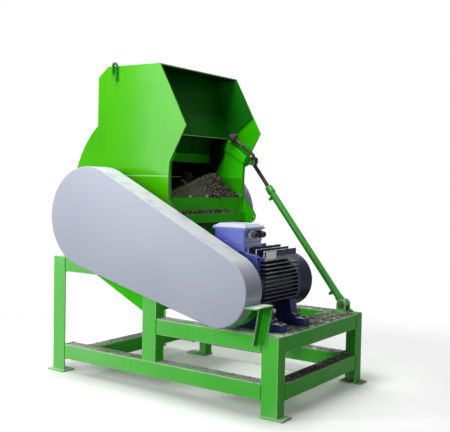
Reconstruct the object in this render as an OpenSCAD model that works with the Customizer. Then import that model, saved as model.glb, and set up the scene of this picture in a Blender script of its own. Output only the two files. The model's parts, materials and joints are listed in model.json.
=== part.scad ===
// Granule crusher: a hammer rotor in a sheet steel housing on a welded stand, with a tipping
// feed hood, a hydraulic ram that lifts it, a belt guard and a foot mounted electric motor.
// +X runs from the housing towards the motor, -Y is the belt side, Z = 0 is the floor.

/* [Stand] */
// Length of the stand over its posts
stand_l = 1824; // [1812:4:1836]
// Width of the stand over its posts
stand_w = 1090; // [1080:5:1100]
// Side of the rails' square tube
tube_s = 100; // [96:1:104]
// Outer corner radius of the square tube
tube_r = 8; // [4:1:12]
// Leg of a post's angle that lies in the stand's long face
leg_w = 110; // [106:1:114]
// Leg of a post's angle that runs across the stand
leg_d = 80; // [74:1:86]
// Thickness of a post's angle
leg_t = 9; // [8:0.5:12]
// Height of the upper rails' top faces, where the housing stands
upper_z = 800; // [790:2:804]
// Height of the motor rails' top faces
motor_z = 470; // [460:2:476]
// Height of the lower rails' top faces
lower_z = 195; // [185:5:215]
// Width of a foot plate
foot_w = 110; // [104:2:116]
// Thickness of a foot plate
foot_t = 10; // [8:1:14]
// Spacing of the two anchor holes in a foot plate
anchor_gap = 89; // [84:1:92]
// Radius of an anchor hole
anchor_r = 9; // [6:0.5:10]

/* [Housing] */
// Half width of the housing over its side plates
housing_half = 434; // [430:1:438]
// Thickness of the side plates
side_t = 10; // [8:1:12]
// Thickness of the bent sheets
sheet_t = 8; // [6:1:10]
// Thickness of the wear plates inside the mouth
wear_t = 20; // [14:1:22]
// Height of the seam between hood and lower housing
seam_z = 1361; // [1356:1:1366]
// Radius of the housing's round back
back_r = 668; // [664:1:672]

/* [Rotor] */
// Radius of the rotor shaft
shaft_r = 45; // [40:1:50]
// Radius of a rotor disc
disc_r = 225; // [210:1:235]
// Thickness of a rotor disc
disc_t = 20; // [16:1:24]
// Discs on the rotor
disc_count = 5; // [4:1:6]
// Radius to the tips of the hammers
tip_r = 315; // [300:1:320]
// Hammers round each disc
hammer_count = 6; // [4:1:6]

/* [Drive] */
// Radius of the guard round the rotor pulley
guard_big_r = 325; // [315:1:330]
// Radius of the guard round the motor pulley
guard_small_r = 209; // [204:1:214]
// Depth of the belt guard
guard_d = 160; // [150:1:160]
// Thickness of the guard's sheet
guard_t = 4; // [3:0.5:5]
// Radius of the pulley on the rotor shaft
pulley_big_r = 280; // [260:1:290]
// Radius of the pulley on the motor shaft
pulley_small_r = 150; // [130:1:160]
// Belts side by side
belt_count = 4; // [3:1:5]
// Radius of the round guard on the far end of the rotor shaft
far_guard_r = 350; // [340:1:352]

/* [Motor] */
// Half width of the motor over its fins
motor_r = 178; // [174:1:182]
// Radius of the motor's core below the fins
core_r = 156; // [150:1:160]
// Radius of the fan cowl
cowl_r = 174; // [170:1:176]
// Length of the finned frame
frame_l = 380; // [360:5:400]
// Fins on each side of the frame
fin_count = 10; // [7:1:10]

/* [Ram] */
// Radius of the ram's barrel
barrel_r = 24; // [23:1:27]
// Length of the barrel from its base pin to its gland
barrel_l = 990; // [980:1:1000]
// Radius of the piston rod
rod_r = 14; // [12:1:16]
// Radius of the pins at the ram's ends
pin_r = 15; // [13:1:16]

/* [Hidden] */
$fn = 64;

// Colours of the finishes
frame_green = "limegreen";
hood_green = "lime";
inner_green = "darkgreen";
guard_grey = "lightsteelblue";
motor_blue = "slateblue";
steel = "dimgray";

// Stand: outer planes, the posts' inner ends and the rails' centre lines
end_x = stand_l / 2;
stand_front = -stand_w / 2;
post_in_x = end_x - leg_w;
mid_out_x = 18;
rear_mid_x = -339;
rail_y = stand_w / 2 - tube_s / 2;
inner_y = rail_y - tube_s / 2;
leg_in_y = stand_w / 2 - leg_d;

// Housing: points of the side outline, as [x, z]
arc_c = [-177.5, 1190];
seam_x = arc_c[0] - sqrt(pow(back_r, 2) - pow(seam_z - arc_c[1], 2));
back_x = arc_c[0] - back_r;
nape_z = 1697;
nape = [arc_c[0] - sqrt(pow(back_r, 2) - pow(nape_z - arc_c[1], 2)), nape_z];
crown_rear = [-609, 2020];
crown = [-523, 2087];
brow = [-74, 2080];
chin = [145, 1680];
notch = [16, 1451];
front_x = 11;
lip_z = 1225;
lobe_c = [68, 1090];
lobe_r = 48;
seam_gap = 5;
inner_half = housing_half - side_t;
wear_half = inner_half - wear_t;

// Rotor and motor axes, as [x, z]
rotor_c = [-432, 1091];
motor_c = [591, 718];

// Guard: planes of its front and back
guard_back_y = -551;
guard_front_y = guard_back_y - guard_d;
far_back_y = -guard_back_y;
far_front_y = -guard_front_y;

// Hood hinge axis, as [x, z]
hinge_c = [-848, 1361];

// Ram: base pin, rod pin and the plane it lies in
ram_base = [797, 522];
ram_top = [32, 1490];
ram_y = 492;
ram_l = norm(ram_top - ram_base);
ram_angle = atan2(ram_top[1] - ram_base[1], ram_top[0] - ram_base[0]);

// Motor: planes along its shaft
shield_front = -506;
frame_front = -462;
frame_back = frame_front + frame_l;
cowl_back = 102;
feet_z = motor_c[1] - 200;
box_c = [532, -399];

// ---- helpers ----

// Square with rounded corners, centred
module rounded_square(w, h, r) {
    square([w, h - 2 * r], center = true);
    square([w - 2 * r, h], center = true);
    for (sx = [-1, 1])
        for (sy = [-1, 1])
            translate([sx * (w / 2 - r), sy * (h / 2 - r)])
                circle(r, $fn = 24);
}

// Tube along X from x0 to x1, with its top face at z_top
module tube_x(x0, x1, y, z_top) {
    translate([x0, y, z_top - tube_s / 2])
        rotate([90, 0, 90])
            linear_extrude(x1 - x0)
                rounded_square(tube_s, tube_s, tube_r);
}

// Tube along Y from y0 to y1, with its top face at z_top
module tube_y(x, y0, y1, z_top) {
    translate([x, y1, z_top - tube_s / 2])
        rotate([90, 0, 0])
            linear_extrude(y1 - y0)
                rounded_square(tube_s, tube_s, tube_r);
}

// Stands an [x, z] outline up and extrudes it from y0 to y1
module slab(y0, y1) {
    translate([0, y1, 0])
        rotate([90, 0, 0])
            linear_extrude(y1 - y0)
                children();
}

// Round bar along Y at an [x, z] centre
module bar_y(c, r, y0, y1, fn = 64) {
    slab(y0, y1)
        translate(c)
            circle(r, $fn = fn);
}

// Left-hand normal of the line from p to q
function side_normal(p, q) = [p[1] - q[1], q[0] - p[0]] / norm(q - p);

// Point i of a path moved d to its left, mitred at the bends
function offset_point(path, i, d) =
    let (
        last = len(path) - 1,
        n1 = side_normal(path[max(i - 1, 0)], path[max(i, 1)]),
        n2 = side_normal(path[min(i, last - 1)], path[min(i + 1, last)]),
        m = n1 + n2
    )
    path[i] + d * 2 / (m * m) * m;

// Outline of a bent sheet between the offsets d0 and d1 from a path
module bent_sheet(path, d0, d1) {
    last = len(path) - 1;
    polygon(concat(
        [for (i = [0 : last]) offset_point(path, i, d0)],
        [for (i = [last : -1 : 0]) offset_point(path, i, d1)]
    ));
}

// Outline round two circles and the straight lines that touch both
module belt_outline(c1, r1, c2, r2) {
    d = norm(c2 - c1);
    a = atan2(c2[1] - c1[1], c2[0] - c1[0]);
    b = acos((r1 - r2) / d);
    s1 = r1 - line_inset;
    s2 = r2 - line_inset;
    translate(c1)
        circle(r1, $fn = 128);
    translate(c2)
        circle(r2, $fn = 128);
    polygon([
        c1 + s1 * [cos(a + b), sin(a + b)],
        c1 + s1 * [cos(a - b), sin(a - b)],
        c2 + s2 * [cos(a - b), sin(a - b)],
        c2 + s2 * [cos(a + b), sin(a + b)]
    ]);
}

// How far the straight lines lie inside the true tangents, so that each meets its arcs at an angle
line_inset = 0.15;

// ---- stand ----

// Upright angle from z0 to z1, its outer corner at (x, y) and its legs towards sx and sy
module angle_post(x, y, sx, sy, z0, z1) {
    translate([x, y, z0])
        linear_extrude(z1 - z0)
            polygon(concat(
                [[0, leg_d * sy], [0, 0], [leg_w * sx, 0], [leg_w * sx, leg_t * sy]],
                [for (a = [0 : 22.5 : 90])
                    [sx * (leg_t + root_r * (1 - sin(a))), sy * (leg_t + root_r * (1 - cos(a)))]],
                [[leg_t * sx, leg_d * sy]]
            ));
    // cap plate
    translate([min(x, x + sx * leg_w), min(y, y + sy * leg_d), z1 - 8])
        cube([leg_w, leg_d, 8]);
}

root_r = 10;

// Foot plate from x0 to x1 under the front (s = -1) or rear (s = 1) posts
module foot_plate(x0, x1, hole_x, s) {
    y = s * (stand_w / 2 - foot_w / 2 + 14);
    difference() {
        translate([(x0 + x1) / 2, y, 0])
            linear_extrude(foot_t)
                rounded_square(x1 - x0, foot_w, 6);
        for (dx = [-anchor_gap / 2, anchor_gap / 2])
            translate([hole_x + dx, y, -1])
                cylinder(r = anchor_r, h = foot_t + 2, $fn = 32);
    }
}

// Corner post on its foot plate: sx is -1 at the left end and 1 at the right end
module corner_post(sx, sy, z1) {
    x0 = end_x - leg_w - 2;
    x1 = end_x + 43;
    color(frame_green) {
        foot_plate(sx > 0 ? x0 : -x1, sx > 0 ? x1 : -x0, sx * (end_x - 22.5), sy);
        angle_post(sx * end_x, sy * stand_w / 2, -sx, -sy, foot_t / 2, z1);
    }
}

module post_front_left() { corner_post(-1, -1, upper_z); }
module post_rear_left() { corner_post(-1, 1, upper_z); }
module post_front_right() { corner_post(1, -1, motor_z); }
module post_rear_right() { corner_post(1, 1, motor_z); }

module post_mid_front() {
    color(frame_green)
        angle_post(mid_out_x, stand_front, -1, 1, lower_z, upper_z);
}

// Footed post below the upper rail, and the short one that stands on the motor rail
module post_mid_rear() {
    color(frame_green) {
        foot_plate(rear_mid_x - leg_w - 63, rear_mid_x + 5, rear_mid_x - 97.5, 1);
        angle_post(rear_mid_x, stand_w / 2, -1, -1, foot_t / 2, upper_z - tube_s);
        angle_post(mid_out_x, stand_w / 2, -1, -1, motor_z, upper_z);
    }
}

module upper_long_rails() {
    color(frame_green)
        for (y = [-rail_y, rail_y])
            tube_x(-post_in_x, mid_out_x - leg_w, y, upper_z);
}

module upper_cross_rails() {
    color(frame_green)
        for (x = [tube_s / 2 - end_x, mid_out_x - tube_s / 2])
            tube_y(x, -leg_in_y, leg_in_y, upper_z);
}

module lower_long_rails() {
    color(frame_green) {
        tube_x(-post_in_x, post_in_x, -rail_y, lower_z);
        tube_x(-post_in_x, rear_mid_x - leg_w, rail_y, lower_z);
        tube_x(rear_mid_x, post_in_x, rail_y, lower_z);
    }
}

module lower_cross_rails() {
    color(frame_green) {
        tube_y(lower_cross_x, -inner_y, inner_y, lower_z);
        tube_y(end_x - tube_s / 2, -leg_in_y, leg_in_y, lower_z);
    }
}

module motor_long_rails() {
    color(frame_green) {
        tube_x(mid_out_x, post_in_x, -rail_y, motor_z);
        tube_x(rear_mid_x, post_in_x, rail_y, motor_z);
    }
}

module motor_cross_rails() {
    color(frame_green) {
        for (x = [motor_c[0] - beam_gap / 2, motor_c[0] + beam_gap / 2])
            tube_y(x, -inner_y, inner_y, motor_z);
        tube_y(end_x - tube_s / 2, -leg_in_y, leg_in_y, motor_z);
    }
}

lower_cross_x = -622;
beam_gap = 310;

// ---- housing ----

// Part of the back's round outline below z1 and above z0
module back_segment(z0, z1) {
    intersection() {
        translate(arc_c)
            circle(back_r, $fn = 256);
        translate([back_x - 50, z0])
            square([seam_x + 200 - back_x, z1 - z0]);
    }
}

// Clip for the round part of the hood's back
module back_clip() {
    translate([seam_x - 60, seam_z + seam_gap])
        square([clip_x - seam_x + 60, nape_z + 2 - seam_z - seam_gap]);
}

// Hood side: straight from nape to mouth, cut round along the back
module hood_outline() {
    difference() {
        polygon([
            [seam_x - 60, seam_z + seam_gap], [seam_x - 60, nape_z - 20], nape, crown_rear,
            crown, brow, chin, notch, [front_x, seam_z + seam_gap]
        ]);
        difference() {
            translate([seam_x - 90, seam_z - 10])
                square([nape[0] - seam_x + 89.9, nape_z - seam_z + 30]);
            translate(arc_c)
                circle(back_r, $fn = 256);
        }
    }
}

clip_x = -450;

module lobe_outline() {
    d = [front_x, lip_z] - lobe_c;
    a = atan2(d[1], d[0]) - acos(lobe_r / norm(d));
    translate(lobe_c)
        circle(lobe_r);
    polygon([
        [front_x - 60, lip_z], [front_x, lip_z], lobe_c + lobe_r * [cos(a), sin(a)],
        lobe_c, lobe_c + [0, -lobe_r], [front_x - 60, lobe_c[1] - lobe_r]
    ]);
}

module casing_outline() {
    translate([back_x, upper_z])
        square([front_x - back_x, arc_c[1] - upper_z]);
    back_segment(arc_c[1] - 1, seam_z);
    translate([seam_x + 60, arc_c[1] - 1])
        square([front_x - seam_x - 60, seam_z - arc_c[1] + 1]);
    lobe_outline();
}

// Lower side plate with its shaft hole, pivot bolt hole, adjusting slot, wear plate and foot flange
module casing_side(side) {
    y0 = side < 0 ? -housing_half : inner_half;
    w0 = side < 0 ? -inner_half : wear_half;
    f0 = side < 0 ? -housing_half - flange_w : housing_half;
    color(hood_green) {
        difference() {
            slab(y0, y0 + side_t)
                casing_outline();
            bar_y(rotor_c, shaft_r + 20, y0 - 1, y0 + side_t + 1);
            slab(y0 - 1, y0 + side_t + 1)
                slot_arc();
        }
        slab(w0, w0 + wear_t)
            translate([wear_back_x, lip_z])
                square([front_x - wear_back_x, seam_z - lip_z]);
        for (span = [[back_x + 20, rotor_c[0] - 175], [rotor_c[0] + 175, front_x - 20]])
            translate([span[0], f0, upper_z])
                cube([span[1] - span[0], flange_w, flange_t]);
    }
}

flange_w = 80;
flange_t = 12;
wear_back_x = -235;

// Curved slot below the lobe's bolt
module slot_arc() {
    translate(lobe_c)
        intersection() {
            difference() {
                circle(35);
                circle(27);
            }
            polygon([[0, 0], [60, 0], [60, -60], [0, -60]]);
        }
}

module casing_side_near() { casing_side(-1); }
module casing_side_far() { casing_side(1); }

module casing_back() {
    color(hood_green)
        slab(-inner_half, inner_half)
            difference() {
                union() {
                    back_segment(arc_c[1], seam_z);
                    translate([back_x, upper_z])
                        square([sheet_t, arc_c[1] - upper_z]);
                }
                translate(arc_c)
                    circle(back_r - sheet_t, $fn = 256);
            }
}

module casing_front() {
    color(inner_green) {
        translate([front_wall_x, -inner_half, upper_z])
            cube([sheet_t, 2 * inner_half, beam_low_z + 20 - upper_z]);
    }
}

front_wall_x = -70;
beam_low_z = 1056;
beam_top_z = 1116;

module feed_apron() {
    color(hood_green) {
        translate([-8, -inner_half, beam_low_z])
            cube([10, 2 * inner_half, lip_z - beam_low_z]);
        translate([2, -inner_half, beam_top_z - 8])
            cube([30, 2 * inner_half, 8]);
        translate([24, -inner_half, beam_low_z])
            cube([8, 2 * inner_half, beam_top_z - beam_low_z]);
    }
}

module feed_ramp() {
    color(inner_green)
        slab(-inner_half, inner_half)
            bent_sheet([[-15, lip_z - 1], [-104, lip_z - 73]], 0, 10);
}

module discharge_chute() {
    color(inner_green)
        for (s = [-1, 1])
            slab(s < 0 ? -chute_half : chute_half - sheet_t, s < 0 ? -chute_half + sheet_t : chute_half)
                polygon([
                    [-795, upper_z], [-795, 768], [-197, 482], [-110, 482], [-95, upper_z]
                ]);
    color(inner_green)
        slab(-chute_half + sheet_t, chute_half - sheet_t) {
            bent_sheet([[-795, upper_z], [-795, 768]], 0, sheet_t);
            bent_sheet([[-95, upper_z], [-110, 482]], -sheet_t, 0);
        }
}

chute_half = 430;

// ---- rotor ----

// Shaft with the spacer tubes that hold the discs apart
module rotor_shaft() {
    color(steel) {
        bar_y(rotor_c, shaft_r, guard_front_y + 25, far_front_y - 25);
        bar_y(rotor_c, spacer_r, disc_y(0) - 40, disc_y(disc_count - 1) + 40);
    }
}

spacer_r = 70;
disc_pitch = 170;

function disc_y(i) = (i - (disc_count - 1) / 2) * disc_pitch;

module rotor_discs() {
    color(steel)
        for (i = [0 : disc_count - 1])
            difference() {
                bar_y(rotor_c, disc_r, disc_y(i) - disc_t / 2, disc_y(i) + disc_t / 2, 96);
                bar_y(rotor_c, spacer_r + 0.05, disc_y(i) - disc_t, disc_y(i) + disc_t);
            }
}

// One hammer: a forged block with a raked striking face, pointing along +X
module hammer_outline() {
    polygon([
        [disc_r - 70, -22], [disc_r + 10, -34], [tip_r - 14, -34], [tip_r, -20],
        [tip_r, 30], [disc_r + 20, 34], [disc_r - 70, 22]
    ]);
}

module rotor_hammers() {
    color(steel)
        for (i = [0 : disc_count - 1])
            for (k = [0 : hammer_count - 1])
                slab(disc_y(i) + disc_t / 2, disc_y(i) + disc_t / 2 + hammer_t)
                    translate(rotor_c)
                        rotate(k * 360 / hammer_count + i * 24)
                            hammer_outline();
}

hammer_t = 44;

module pillow_block(side) {
    y0 = side * rail_y - bearing_w / 2;
    difference() {
        union() {
            bar_y(rotor_c, bearing_r, y0, y0 + bearing_w);
            slab(y0, y0 + bearing_w)
                polygon([
                    rotor_c + [-150, -110], rotor_c + [150, -110], rotor_c + [150, -76],
                    rotor_c + [88, -70], rotor_c + [80, 0], rotor_c + [-80, 0],
                    rotor_c + [-88, -70], rotor_c + [-150, -76]
                ]);
        }
        bar_y(rotor_c, shaft_r + 0.05, y0 - 1, y0 + bearing_w + 1);
    }
    // pedestal under the block
    z_top = rotor_c[1] - 110;
    translate([rotor_c[0] - 160, y0, z_top - 14])
        cube([320, bearing_w, 14]);
    translate([rotor_c[0] - 160, y0, upper_z])
        cube([320, bearing_w, 14]);
    for (dx = [-150, -6, 138])
        translate([rotor_c[0] + dx, y0 + 5, upper_z + 10])
            cube([12, bearing_w - 10, z_top - upper_z - 20]);
}

bearing_w = 84;
bearing_r = 88;

module rotor_bearings() {
    color(steel) {
        pillow_block(-1);
        pillow_block(1);
    }
}

// ---- drive ----

module belt_guard() {
    color(guard_grey)
        difference() {
            slab(guard_front_y, guard_back_y)
                belt_outline(rotor_c, guard_big_r, motor_c, guard_small_r);
            slab(guard_front_y + guard_t, guard_back_y + 1)
                belt_outline(rotor_c, guard_big_r - guard_t, motor_c, guard_small_r - guard_t);
        }
}

module belt_guard_back() {
    color(guard_grey)
        difference() {
            slab(guard_back_y - guard_t, guard_back_y)
                belt_outline(rotor_c, guard_big_r - guard_t - 0.3, motor_c, guard_small_r - guard_t - 0.3);
            bar_y(rotor_c, shaft_r + 15, guard_back_y - 20, guard_back_y + 20);
            bar_y(motor_c, motor_shaft_r + 15, guard_back_y - 20, guard_back_y + 20);
        }
    // spacer pads that seat the guard against the stand
    color(guard_grey)
        for (x = [-520, -380, mid_out_x - 76])
            translate([x, guard_back_y - 1, upper_z - 14])
                cube([40, stand_front - guard_back_y + 1, 13]);
}

module guard_bracket() {
    color(frame_green) {
        // shelf welded to the rim
        difference() {
            translate([motor_c[0] + guard_small_r - 24, guard_front_y + 2, shelf_z - 8])
                cube([bracket_x - motor_c[0] - guard_small_r + 24, stand_front - guard_front_y - 2, 8]);
            bar_y(motor_c, guard_small_r + 0.05, guard_front_y - 1, stand_front + 1, 128);
        }
        // leaning angle on the front of the motor rail, one leg turned forwards
        slab(stand_front - 8, stand_front)
            polygon([
                [bracket_x - 62, shelf_z - 8], [bracket_x, shelf_z - 8],
                [bracket_x - 41, strut_low_z], [bracket_x - 103, strut_low_z]
            ]);
        slab(stand_front - 53, stand_front - 8)
            polygon([
                [bracket_x - 62, shelf_z - 8], [bracket_x - 54, shelf_z - 8],
                [bracket_x - 95, strut_low_z], [bracket_x - 103, strut_low_z]
            ]);
        // curved saddle under the rim
        slab(guard_back_y - 90, guard_back_y)
            translate(motor_c)
                intersection() {
                    difference() {
                        circle(guard_small_r + 10, $fn = 128);
                        circle(guard_small_r, $fn = 128);
                    }
                    polygon([[0, 0], 400 * [cos(20), -sin(20)], 400 * [1, -1], 400 * [cos(75), -sin(75)]]);
                }
    }
}

shelf_z = 650;
bracket_x = 874;
strut_low_z = 412;
motor_shaft_r = 27.5;

module pulley(c, r, y0, width) {
    difference() {
        bar_y(c, r, y0, y0 + width, 96);
        for (i = [0 : belt_count - 1])
            translate([c[0], y0 + belt_edge + belt_pitch * (i + 0.5), c[1]])
                rotate([90, 0, 0])
                    rotate_extrude($fn = 96)
                        polygon([
                            [r - belt_h, -belt_w / 2 + 3], [r + 1, -belt_w / 2 - 1],
                            [r + 1, belt_w / 2 + 1], [r - belt_h, belt_w / 2 - 3]
                        ]);
    }
}

belt_pitch = 19;
belt_edge = 8;
belt_w = 13;
belt_h = 12;
pulley_y = -670;

module belt_drive() {
    width = 2 * belt_edge + belt_pitch * belt_count;
    color(steel) {
        difference() {
            pulley(rotor_c, pulley_big_r, pulley_y, width);
            bar_y(rotor_c, shaft_r + 0.05, pulley_y - 1, pulley_y + width + 1);
        }
        difference() {
            pulley(motor_c, pulley_small_r, pulley_y, width);
            bar_y(motor_c, motor_shaft_r + 0.05, pulley_y - 1, pulley_y + width + 1);
        }
    }
    color("black")
        for (i = [0 : belt_count - 1])
            difference() {
                slab(belt_y(i) - belt_w / 2 + 2, belt_y(i) + belt_w / 2 - 2)
                    belt_outline(rotor_c, pulley_big_r, motor_c, pulley_small_r);
                slab(belt_y(i) - belt_w, belt_y(i) + belt_w)
                    belt_outline(rotor_c, pulley_big_r - belt_h, motor_c, pulley_small_r - belt_h);
            }
}

function belt_y(i) = pulley_y + belt_edge + belt_pitch * (i + 0.5);

module far_guard() {
    color(guard_grey)
        difference() {
            bar_y(rotor_c, far_guard_r, far_back_y, far_front_y, 128);
            bar_y(rotor_c, far_guard_r - guard_t, far_back_y + guard_t, far_front_y - guard_t, 128);
            bar_y(rotor_c, shaft_r + 15, far_back_y - 1, far_back_y + 20);
        }
}

// ---- hood ----

module hood_side_near() {
    color(hood_green)
        slab(-housing_half, -inner_half)
            hood_outline();
}

module hood_side_far() {
    color(hood_green)
        slab(inner_half, housing_half)
            hood_outline();
}

module hood_shell() {
    t = sheet_t;
    color(hood_green)
        slab(-inner_half, inner_half) {
            intersection() {
                difference() {
                    translate(arc_c)
                        circle(back_r, $fn = 256);
                    translate(arc_c)
                        circle(back_r - t, $fn = 256);
                }
                back_clip();
            }
            bent_sheet([nape + [0, -6], crown_rear, crown, brow], -t, 0);
        }
}

// Deflector inside the mouth: a back sheet and two side wings
module hood_liner() {
    color(inner_green) {
        slab(-inner_half, inner_half)
            bent_sheet([liner_low, liner_high], 0, sheet_t);
        for (s = [-1, 1])
            slab(s < 0 ? -inner_half : inner_half - wing_t, s < 0 ? -inner_half + wing_t : inner_half)
                polygon([
                    liner_low, liner_low + [205, 149], brow + [-4, -12], liner_high
                ]);
    }
}

wing_t = 12;
liner_low = [-125, 1647];
liner_high = [-230, 2072];

// Thick plates on the inner faces of the hood's sides, each with a strip lapped over its top edge
module hood_wear_plates() {
    color(hood_green)
        for (s = [-1, 1]) {
            slab(s < 0 ? -inner_half : wear_half, s < 0 ? -wear_half : inner_half)
                polygon([
                    [-122, 1638], [40, 1518], notch + [-3, 0], [front_x - 1, seam_z + seam_gap],
                    [wear_back_x, seam_z + seam_gap], [-133, 1549]
                ]);
            slab(s < 0 ? -wear_half : wear_half - strip_t, s < 0 ? strip_t - wear_half : wear_half)
                polygon([[-113, 1630], [44, 1514], [26, 1474], [-151, 1570]]);
        }
}

strip_t = 7;

// Baffle across the chamber with its stiffened lower edge
module impact_bar() {
    color(inner_green)
        slab(-inner_half, inner_half) {
            bent_sheet([[-306, 1468], [-306, 1535], [-248, 1800]], 0, 10);
        }
}

// Eyes of bent round bar, with one leg longer than the other
module lifting_lugs() {
    color(hood_green)
        for (s = [-1, 1])
            translate([eye_x, s * (housing_half + eye_bar_r), eye_z]) {
                rotate([90, 0, 0])
                    rotate_extrude(angle = 180, $fn = 64)
                        translate([eye_r, 0])
                            circle(eye_bar_r, $fn = 24);
                translate([eye_r, 0, -102])
                    cylinder(r = eye_bar_r, h = 102, $fn = 24);
                translate([-eye_r, 0, -52])
                    cylinder(r = eye_bar_r, h = 52, $fn = 24);
            }
}

eye_x = -452;
eye_z = 2086;
eye_r = 17;
eye_bar_r = 9;

// ---- hinge ----

// Knuckle spans along Y: the lower leaf's and the hood's alternate
knuckle_l = 70;
knuckle_pitch = 75;
hinge_rows = [-300, 300];

module hinge_lower() {
    color(steel)
        for (y = hinge_rows) {
            for (s = [-1, 1])
                slab(y + s * knuckle_pitch - knuckle_l / 2, y + s * knuckle_pitch + knuckle_l / 2)
                    difference() {
                        union() {
                            translate(hinge_c)
                                circle(knuckle_r);
                            translate([hinge_c[0] - leaf_t / 2, seam_z - leaf_l])
                                square([leaf_t + 20, leaf_l]);
                        }
                        translate([back_x, arc_c[1] - 200])
                            square([60, 200]);
                        translate(arc_c)
                            circle(back_r, $fn = 256);
                    }
            bar_y(hinge_c, hinge_pin_r, y - knuckle_pitch - knuckle_l / 2, y + knuckle_pitch + knuckle_l / 2);
        }
}

module hinge_upper() {
    color(steel)
        for (y = hinge_rows)
            slab(y - knuckle_l / 2, y + knuckle_l / 2)
                difference() {
                    union() {
                        translate(hinge_c)
                            circle(knuckle_r);
                        polygon([
                            hinge_c + [-6, 18], hinge_c + [16, 8], [-770, 1400], [-770, 1500],
                            [-778, 1500]
                        ]);
                    }
                    translate(hinge_c)
                        circle(hinge_pin_r + 0.05);
                    translate(arc_c)
                        circle(back_r + 0.2, $fn = 256);
                }
}

knuckle_r = 20;
hinge_pin_r = 9;
leaf_t = 12;
leaf_l = 150;

// ---- ram ----

// Bracket on the far side of the hood: a plate, a boss and the stub that faces the rod's eye
module hood_ram_lug() {
    color(frame_green) {
        slab(housing_half, housing_half + 14)
            polygon([
                [-60, 1545], [20, 1560], ram_top + [34, 14], ram_top + [34, -20],
                notch + [-2, -6], [-70, 1470]
            ]);
        bar_y(ram_top, 28, housing_half, ram_y - 26);
        bar_y(ram_top, pin_r, housing_half, ram_y - 21);
    }
}

module ram_bracket() {
    color(frame_green) {
        translate([ram_base[0] - 60, ram_y - 53, motor_z])
            cube([110, 106, 10]);
        for (s = [-1, 1])
            slab(ram_y + s * 31 - 6, ram_y + s * 31 + 6)
                union() {
                    translate(ram_base)
                        circle(34);
                    translate([ram_base[0] - 34, motor_z + 9])
                        square([68, ram_base[1] - motor_z - 9]);
                }
    }
    color(steel)
        bar_y(ram_base, pin_r, ram_y - 44, ram_y + 44);
}

module ram_barrel() {
    color(frame_green)
        translate([ram_base[0], ram_y, ram_base[1]])
            rotate([0, 90 - ram_angle, 0])
                difference() {
                    union() {
                        translate([0, 0, 34])
                            cylinder(r = barrel_r, h = barrel_l - 34);
                        translate([0, 0, barrel_l - 50])
                            cylinder(r = barrel_r + 3, h = 44);
                    }
                    translate([0, 0, 60])
                        cylinder(r = rod_r + 3, h = barrel_l);
                }
    color(frame_green)
        difference() {
            slab(ram_y - 22, ram_y + 22)
                translate(ram_base) {
                    circle(30);
                    rotate(ram_angle)
                        translate([0, -20])
                            square([60, 40]);
                }
            bar_y(ram_base, pin_r + 0.05, ram_y - 30, ram_y + 30);
        }
}

module ram_rod() {
    color(steel)
        translate([ram_base[0], ram_y, ram_base[1]])
            rotate([0, 90 - ram_angle, 0])
                translate([0, 0, 140])
                    cylinder(r = rod_r, h = ram_l - 140 - 20);
    color(steel)
        bar_y(ram_top, 30, ram_y - 20, ram_y + 20);
}

// ---- motor ----

// Bolt lugs round the drive end shield
module shield_lugs() {
    for (a = [45 : 90 : 315])
        bar_y(motor_c + (shield_r - 8) * [cos(a), sin(a)], 16, shield_front + 12, frame_front, 24);
}

// Drive end shield: round below, with sloped shoulders under the terminal box
module shield_outline() {
    circle(shield_r, $fn = 96);
    polygon([
        [-140, 0], [140, 0], [140, 103], [134, 182], [125, 192], [60, 203], [46, deck_h],
        [-46, deck_h], [-60, 203], [-125, 192], [-134, 182], [-140, 103]
    ]);
}

shield_r = 158;

// Fins on both sides of the frame, cut off along its nearly upright side faces
module side_fins() {
    intersection() {
        polygon([
            [-motor_r, -90], [motor_r, -90], [motor_r, 110], [motor_r - 11, 182],
            [11 - motor_r, 182], [-motor_r, 110]
        ]);
        union() {
            for (k = [0 : fin_count - 1])
                translate([-motor_r, low_fin_h + k * fin_pitch])
                    square([2 * motor_r, 5]);
            translate([-motor_r, 162])
                square([2 * motor_r, 19]);
        }
    }
}

// Upright rib on the frame's shoulder, from y0 to y1
module top_rib(x, top_h, y0, y1) {
    translate([motor_c[0] + x, y0, motor_c[1] + 170])
        cube([8, y1 - y0, top_h - 170]);
}

module motor_frame() {
    color(motor_blue) {
        bar_y(motor_c, core_r, frame_front, frame_back, 96);
        slab(frame_front, frame_back)
            translate(motor_c) {
                side_fins();
                translate([-100, 60])
                    square([200, 130]);
            }
        // deck under the terminal box
        slab(frame_front, box_c[1] + 98)
            translate([box_c[0] - 100, motor_c[1] + 150])
                square([200, deck_h - 150]);
        for (rib = [[49, 235], [105, 227], [159, 220]])
            top_rib(rib[0], rib[1], frame_front, frame_back - 18);
        for (rib = [[-167, 220], [-113, 227], [-57, 235]])
            top_rib(rib[0], rib[1], box_c[1] + 110, frame_back - 18);
        // drive end shield with its flange and lugs
        slab(shield_front + 14, frame_front)
            translate(motor_c)
                shield_outline();
        bar_y(motor_c, 120, shield_front, shield_front + 20, 96);
        shield_lugs();
        // fan end shield
        bar_y(motor_c, cowl_r + 4, frame_back, frame_back + 36, 96);
    }
    color(steel)
        bar_y(motor_c, motor_shaft_r, guard_front_y + 30, shield_front + 10);
}

deck_h = 213;
low_fin_h = -78;
fin_pitch = 24;

module motor_cowl() {
    color(motor_blue)
        difference() {
            bar_y(motor_c, cowl_r, frame_back + 36, cowl_back, 96);
            bar_y(motor_c, cowl_r - 4, frame_back + 30, cowl_back - 4, 96);
            for (r = [50 : 26 : 154])
                slab(cowl_back - 10, cowl_back + 1)
                    translate(motor_c)
                        difference() {
                            circle(r + 9);
                            circle(r);
                            square([2 * r + 40, 12], center = true);
                            square([12, 2 * r + 40], center = true);
                        }
        }
}

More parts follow.
